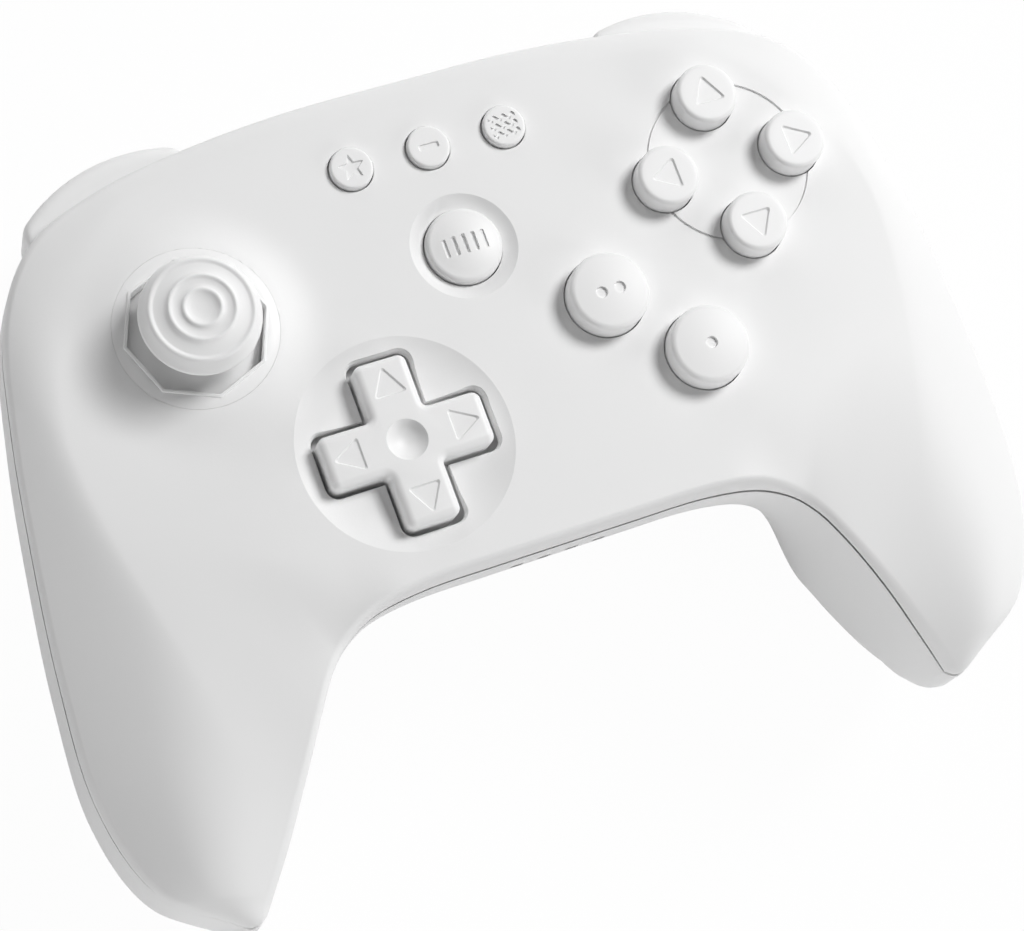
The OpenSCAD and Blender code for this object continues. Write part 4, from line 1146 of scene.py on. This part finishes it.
def trigger_section(s, x, half):
    """Section of a trigger at x, drawn in at its rounded ends."""
    out, tip = s.trigger_out, -s.low
    points = [(HINGE_Y, -19.4), (1.6, -19.6), (2.3, -22), (1.8, -24), (2.2, tip + 0.4),
              (3.4, tip), (out - 2.2, -25.2), (out - 1, -23.2), (out - 0.2, -20.6), (out, -18.2),
              (out - 0.5, -15.6), (out - 1.6, -13.7), (3, -12.9), (HINGE_Y, -13.2)]
    squeeze = (bowed_reach(s, x, half, out) - HINGE_Y) / (out - HINGE_Y)
    ring = [(HINGE_Y + (y - HINGE_Y) * squeeze, z) for y, z in points]
    n = len(ring)
    smooth = []
    for i in range(n):
        near = [np.array(ring[(i + j) % n]) for j in (-1, 0, 1, 2)]
        smooth += [spline(*near, f) for f in (0, 0.25, 0.5, 0.75)]
    return [(x, y, z) for y, z in smooth]


class CONTROLLER_OT_shoulders(PieceOperator, bpy.types.Operator):
    """Shoulder buttons and triggers on both sides."""

    bl_idname = "controller.shoulders"
    bl_label = "Shoulders"

    def execute(self, context):
        s = sizes("controller_shoulders")
        half = s.half - s.gap
        xs = end_steps(half, s.end_r)
        low = -s.top - s.height
        for side, name in SIDES:
            here = shoulder(side)
            mesh = loft([bowed_section(s, x, half, low, -s.top) for x in xs], here)
            mesh = cut(mesh, block(*BUMPER_NOTCH, here),
                       moved(rod(BUMPER_PIN, s.pin_r + PIN_GAP, 30), here))
            piece("shoulder_" + name, mesh, "bumper_" + name, "bumper_" + name,
                  "control_white", 40)
            paddle = half - TRIGGER_INSET
            mesh = loft([trigger_section(s, x, paddle) for x in end_steps(paddle, s.end_r)],
                        here @ shift(-TRIGGER_INSET, 0))
            hub, pin, seat = (moved(rod((x, HINGE_Y, HINGE_Z), r, reach, ALONG_X), here)
                              for x, r, reach in ((HUB_X, HUB_R, HUB_LENGTH),
                                                  (-20, s.pin_r + PIN_GAP, 40),
                                                  (SPRING_X, SPRING_SEAT_R, SPRING_SEAT)))
            mesh = cut(add(mesh, hub), block((-16, -10, -30), (HUB_X, 0.3, -10), here), pin, seat)
            piece("finger_trigger_" + name, mesh, "trigger_" + name, "trigger_" + name,
                  "control_white", 40)
        return {"FINISHED"}


# Repeating pieces by geometry nodes

def node_tree(name, inputs):
    """An empty tree with its inputs: numbers with their defaults, or a material."""
    tree = bpy.data.node_groups.new(name, "GeometryNodeTree")
    tree.interface.new_socket("Geometry", in_out="INPUT", socket_type="NodeSocketGeometry")
    tree.interface.new_socket("Geometry", in_out="OUTPUT", socket_type="NodeSocketGeometry")
    for label, value in inputs.items():
        kind = "NodeSocketMaterial" if value is None else "NodeSocketFloat"
        socket = tree.interface.new_socket(label, in_out="INPUT", socket_type=kind)
        if value is not None:
            socket.default_value = value
    return tree


def run_tree(tree, mesh, values):
    """The mesh that a tree makes from mesh, with its inputs set by their identifiers."""
    obj = bpy.data.objects.new("by_nodes", mesh)
    bpy.context.scene.collection.objects.link(obj)
    step = obj.modifiers.new("nodes", "NODES")
    step.node_group = tree
    for item in tree.interface.items_tree:
        if item.item_type == "SOCKET" and item.in_out == "INPUT" and item.name in values:
            step[item.identifier] = values[item.name]
    graph = bpy.context.evaluated_depsgraph_get()
    out = bpy.data.meshes.new_from_object(obj.evaluated_get(graph))
    obj.modifiers.remove(step)
    bpy.data.objects.remove(obj)
    return out


def end_tree(tree, source, geometry):
    """Ends a tree: what it makes, real and in its material."""
    new, join = tree.nodes.new, tree.links.new
    real, paint = new("GeometryNodeRealizeInstances"), new("GeometryNodeSetMaterial")
    join(geometry, real.inputs["Geometry"])
    join(real.outputs["Geometry"], paint.inputs["Geometry"])
    join(source.outputs["Material"], paint.inputs["Material"])
    join(paint.outputs["Geometry"], new("NodeGroupOutput").inputs["Geometry"])
    return tree


CROSS_LONG, CROSS_WIDE, CROSS_DEEP = 2.6, 0.7, 2.2


def screw_tree():
    """Cross-head screws at the points of a mesh, heads down."""
    tree = node_tree("shell_screw_tree", {
        "Head radius": 2.5, "Head height": 2.2, "Thread radius": 1.1, "Thread length": 12.6,
        "Material": None})
    new, join = tree.nodes.new, tree.links.new
    source = new("NodeGroupInput")

    def cylinder(radius, depth, vertices):
        node = new("GeometryNodeMeshCylinder")
        node.inputs["Vertices"].default_value = vertices
        join(source.outputs[radius], node.inputs["Radius"])
        join(source.outputs[depth], node.inputs["Depth"])
        return node

    def lifted(geometry, depth, sign):
        half = new("ShaderNodeMath")
        half.operation = "MULTIPLY"
        half.inputs[1].default_value = 0.5 * sign
        join(source.outputs[depth], half.inputs[0])
        vector = new("ShaderNodeCombineXYZ")
        join(half.outputs[0], vector.inputs["Z"])
        node = new("GeometryNodeTransform")
        join(geometry, node.inputs["Geometry"])
        join(vector.outputs[0], node.inputs["Translation"])
        return node.outputs["Geometry"]

    head = cylinder("Head radius", "Head height", 40)
    recess = new("GeometryNodeMeshBoolean")
    recess.operation = "DIFFERENCE"
    join(lifted(head.outputs["Mesh"], "Head height", -1), recess.inputs["Mesh 1"])
    for long, wide in ((CROSS_LONG, CROSS_WIDE), (CROSS_WIDE, CROSS_LONG)):
        arm = new("GeometryNodeMeshCube")
        arm.inputs["Size"].default_value = (long, wide, CROSS_DEEP)
        lowered = new("GeometryNodeTransform")
        lowered.inputs["Translation"].default_value = (0, 0, -CROSS_DEEP)
        join(arm.outputs["Mesh"], lowered.inputs["Geometry"])
        join(lowered.outputs["Geometry"], recess.inputs["Mesh 2"])
    thread = cylinder("Thread radius", "Thread length", 24)
    whole = new("GeometryNodeJoinGeometry")
    join(recess.outputs["Mesh"], whole.inputs["Geometry"])
    join(lifted(thread.outputs["Mesh"], "Thread length", 1), whole.inputs["Geometry"])
    spread = new("GeometryNodeInstanceOnPoints")
    join(source.outputs["Geometry"], spread.inputs["Points"])
    join(whole.outputs["Geometry"], spread.inputs["Instance"])
    return end_tree(tree, source, spread.outputs["Instances"])


def coil_tree():
    """Coil of round wire along z."""
    tree = node_tree("trigger_spring_tree", {
        "Coil radius": 1.55, "Wire radius": 0.3, "Turns": 4.0, "Length": 3.2, "Material": None})
    new, join = tree.nodes.new, tree.links.new
    source = new("NodeGroupInput")
    spiral = new("GeometryNodeCurveSpiral")
    spiral.inputs["Resolution"].default_value = 36
    for label, target in (("Coil radius", "Start Radius"), ("Coil radius", "End Radius"),
                          ("Turns", "Rotations"), ("Length", "Height")):
        join(source.outputs[label], spiral.inputs[target])
    wire = new("GeometryNodeCurvePrimitiveCircle")
    wire.inputs["Resolution"].default_value = 12
    join(source.outputs["Wire radius"], wire.inputs["Radius"])
    sweep = new("GeometryNodeCurveToMesh")
    sweep.inputs["Fill Caps"].default_value = True
    join(spiral.outputs["Curve"], sweep.inputs["Curve"])
    join(wire.outputs["Curve"], sweep.inputs["Profile Curve"])
    return end_tree(tree, source, sweep.outputs["Mesh"])


class CONTROLLER_OT_hardware(PieceOperator, bpy.types.Operator):
    """Screws of the shells and coil springs of the triggers."""

    bl_idname = "controller.hardware"
    bl_label = "Hardware"

    def execute(self, context):
        steel = FINISH["steel"]
        points = bpy.data.meshes.new("screw_places")
        places = [(side * x, y, seat) for side, _ in SIDES for x, y, seat in SCREWS]
        points.from_pydata(places, [], [])
        mesh = run_tree(screw_tree(), points, {"Material": steel})
        piece("cross_head_screws", mesh, "case", "shell_screws", "steel")
        tree = coil_tree()
        for side, name in SIDES:
            mesh = run_tree(tree, bpy.data.meshes.new("empty"), {"Material": steel})
            mesh = moved(mesh, shoulder(side) @ shift(SPRING_X + 0.6, HINGE_Y, HINGE_Z) @ ALONG_X)
            piece("trigger_coil_" + name, mesh, "case", "spring_" + name, "steel", 50)
        return {"FINISHED"}


PHOTO_W, FOCAL_PX, SENSOR_MM = 1024, 2617.76, 36
CAMERA_AT = (-112.254, -73.905, 367.469)
CAMERA_VIEW = (0.2792, 0.1749, -0.9442)
CAMERA_RIGHT = (0.9152, -0.3460, 0.2066)
# Direction by the camera's right, up and back, size and power of every lamp
LAMPS = {
    "key": ((0.66, 0.62, 0.52), 0.6, 17.8),
    "top_fill": ((-0.3, 0.9, 0.3), 1.0, 3.2),
    "left_fill": ((-0.82, -0.47, 0.29), 0.7, 6.4),
    "front_fill": ((0.15, -0.95, 0.25), 0.7, 6.0),
    "right_fill": ((0.9, -0.35, 0.2), 0.7, 4.4),
}
LAMP_AIM, LAMP_REACH = (0, 0, 0.03), 1.5
FLOOR_HALF, FLOOR_DROP, FLOOR_WHITE = 4, 0.0004, 0.97
WORLD_LIGHT = 0.13


def photo_camera():
    """Camera place and its right, up and back directions on the table."""
    b = sizes("controller_body")
    turn = Matrix.Rotation(-b.rest_tilt, 3, "X")
    place = lay() @ Vector(CAMERA_AT)
    view = (turn @ Vector(CAMERA_VIEW)).normalized()
    right = turn @ Vector(CAMERA_RIGHT)
    right = (right - view * right.dot(view)).normalized()
    return place, (right, right.cross(view).normalized(), -view)


def floor_paper():
    """White paper that stays white to the camera and keeps a soft shadow."""
    material = bpy.data.materials.new("floor_paper")
    material.use_nodes = True
    tree = material.node_tree
    join, shader = tree.links.new, tree.nodes["Principled BSDF"]
    shader.inputs["Base Color"].default_value = (0.9, 0.9, 0.9, 1)
    shader.inputs["Roughness"].default_value = 0.9
    shader.inputs["Specular IOR Level"].default_value = 0.1
    ray = tree.nodes.new("ShaderNodeLightPath")
    glow = shader_node(tree, "ShaderNodeEmission", Strength=1.0)
    mix = tree.nodes.new("ShaderNodeMixShader")
    share = tree.nodes.new("ShaderNodeMath")
    share.operation = "MULTIPLY"
    share.inputs[1].default_value = FLOOR_WHITE
    join(ray.outputs["Is Camera Ray"], share.inputs[0])
    join(share.outputs[0], mix.inputs["Fac"])
    join(shader.outputs[0], mix.inputs[1])
    join(glow.outputs[0], mix.inputs[2])
    join(mix.outputs[0], tree.nodes["Material Output"].inputs["Surface"])
    return material


def studio_world():
    """Even soft light, seen as white."""
    world = bpy.data.worlds.new("studio")
    world.use_nodes = True
    tree = world.node_tree
    join, back = tree.links.new, tree.nodes["Background"]
    back.inputs["Color"].default_value = (1, 1, 1, 1)
    ray = tree.nodes.new("ShaderNodeLightPath")
    seen = tree.nodes.new("ShaderNodeMath")
    seen.operation = "MAXIMUM"
    join(ray.outputs["Is Camera Ray"], seen.inputs[0])
    join(ray.outputs["Is Glossy Ray"], seen.inputs[1])
    level = shader_node(tree, "ShaderNodeMapRange", To_Min=WORLD_LIGHT, To_Max=1.0)
    join(seen.outputs[0], level.inputs["Value"])
    join(level.outputs["Result"], back.inputs["Strength"])
    return world


class CONTROLLER_OT_stage(PieceOperator, bpy.types.Operator):
    """Pale floor, soft studio light and the camera of the photograph."""

    bl_idname = "controller.stage"
    bl_label = "Stage"

    def execute(self, context):
        scene = context.scene
        scene.view_settings.view_transform = "Standard"
        camera_place, (right, up, back) = photo_camera()
        data = bpy.data.cameras.new("photo_camera")
        data.sensor_width = SENSOR_MM
        data.lens = FOCAL_PX * SENSOR_MM / PHOTO_W
        data.clip_start, data.clip_end = 0.01, 20
        camera = bpy.data.objects.new("photo_camera", data)
        camera.matrix_world = Matrix((
            (right.x, up.x, back.x, camera_place.x), (right.y, up.y, back.y, camera_place.y),
            (right.z, up.z, back.z, camera_place.z), (0, 0, 0, 1)))
        scene.collection.objects.link(camera)
        scene.camera = camera
        mesh = bpy.data.meshes.new("floor")
        corners = [(x * FLOOR_HALF, y * FLOOR_HALF, -FLOOR_DROP)
                   for x, y in ((-1, -1), (1, -1), (1, 1), (-1, 1))]
        mesh.from_pydata(corners, [], [(0, 1, 2, 3)])
        mesh.materials.append(floor_paper())
        floor = bpy.data.objects.new("floor", mesh)
        scene.collection.objects.link(floor)
        for name, ((r, u, b), size, power) in LAMPS.items():
            lamp = bpy.data.lights.new(name, "AREA")
            lamp.shape, lamp.size, lamp.energy = "DISK", size, power
            light = bpy.data.objects.new(name, lamp)
            way = (right * r + up * u + back * b).normalized()
            light.location = Vector(LAMP_AIM) + way * LAMP_REACH
            light.rotation_mode = "QUATERNION"
            light.rotation_quaternion = (-way).to_track_quat("-Z", "Y")
            scene.collection.objects.link(light)
        scene.world = studio_world()
        return {"FINISHED"}


STEPS = (
    CONTROLLER_OT_finishes, CONTROLLER_OT_shells, CONTROLLER_OT_thumb_stick,
    CONTROLLER_OT_cross_pad, CONTROLLER_OT_round_buttons, CONTROLLER_OT_rubber_sheets,
    CONTROLLER_OT_shoulders, CONTROLLER_OT_hardware, CONTROLLER_OT_stage,
)


class CONTROLLER_PT_panel(bpy.types.Panel):
    """Lists the sizes, the colours and the steps that build the controller."""

    bl_idname = "CONTROLLER_PT_panel"
    bl_label = "Controller"
    bl_space_type = "VIEW_3D"
    bl_region_type = "UI"
    bl_category = "Controller"

    def draw(self, context):
        for name, group in GROUPS.items():
            box = self.layout.box()
            box.label(text=group.__doc__)
            for key in group.__annotations__:
                box.prop(getattr(context.scene, name), key)
        for step in STEPS:
            self.layout.operator(step.bl_idname)


CLASSES = (*GROUPS.values(), *STEPS, CONTROLLER_PT_panel)


def register():
    for cls in CLASSES:
        bpy.utils.register_class(cls)
    for name, group in GROUPS.items():
        setattr(bpy.types.Scene, name, PointerProperty(type=group))


def unregister():
    for name in GROUPS:
        delattr(bpy.types.Scene, name)
    for cls in reversed(CLASSES):
        bpy.utils.unregister_class(cls)


def main():
    register()
    for step in STEPS:
        group, call = step.bl_idname.split(".")
        if getattr(getattr(bpy.ops, group), call)() != {"FINISHED"}:
            raise RuntimeError(step.bl_label + " did not finish")
    bpy.context.view_layer.update()


if __name__ == "__main__":
    main()
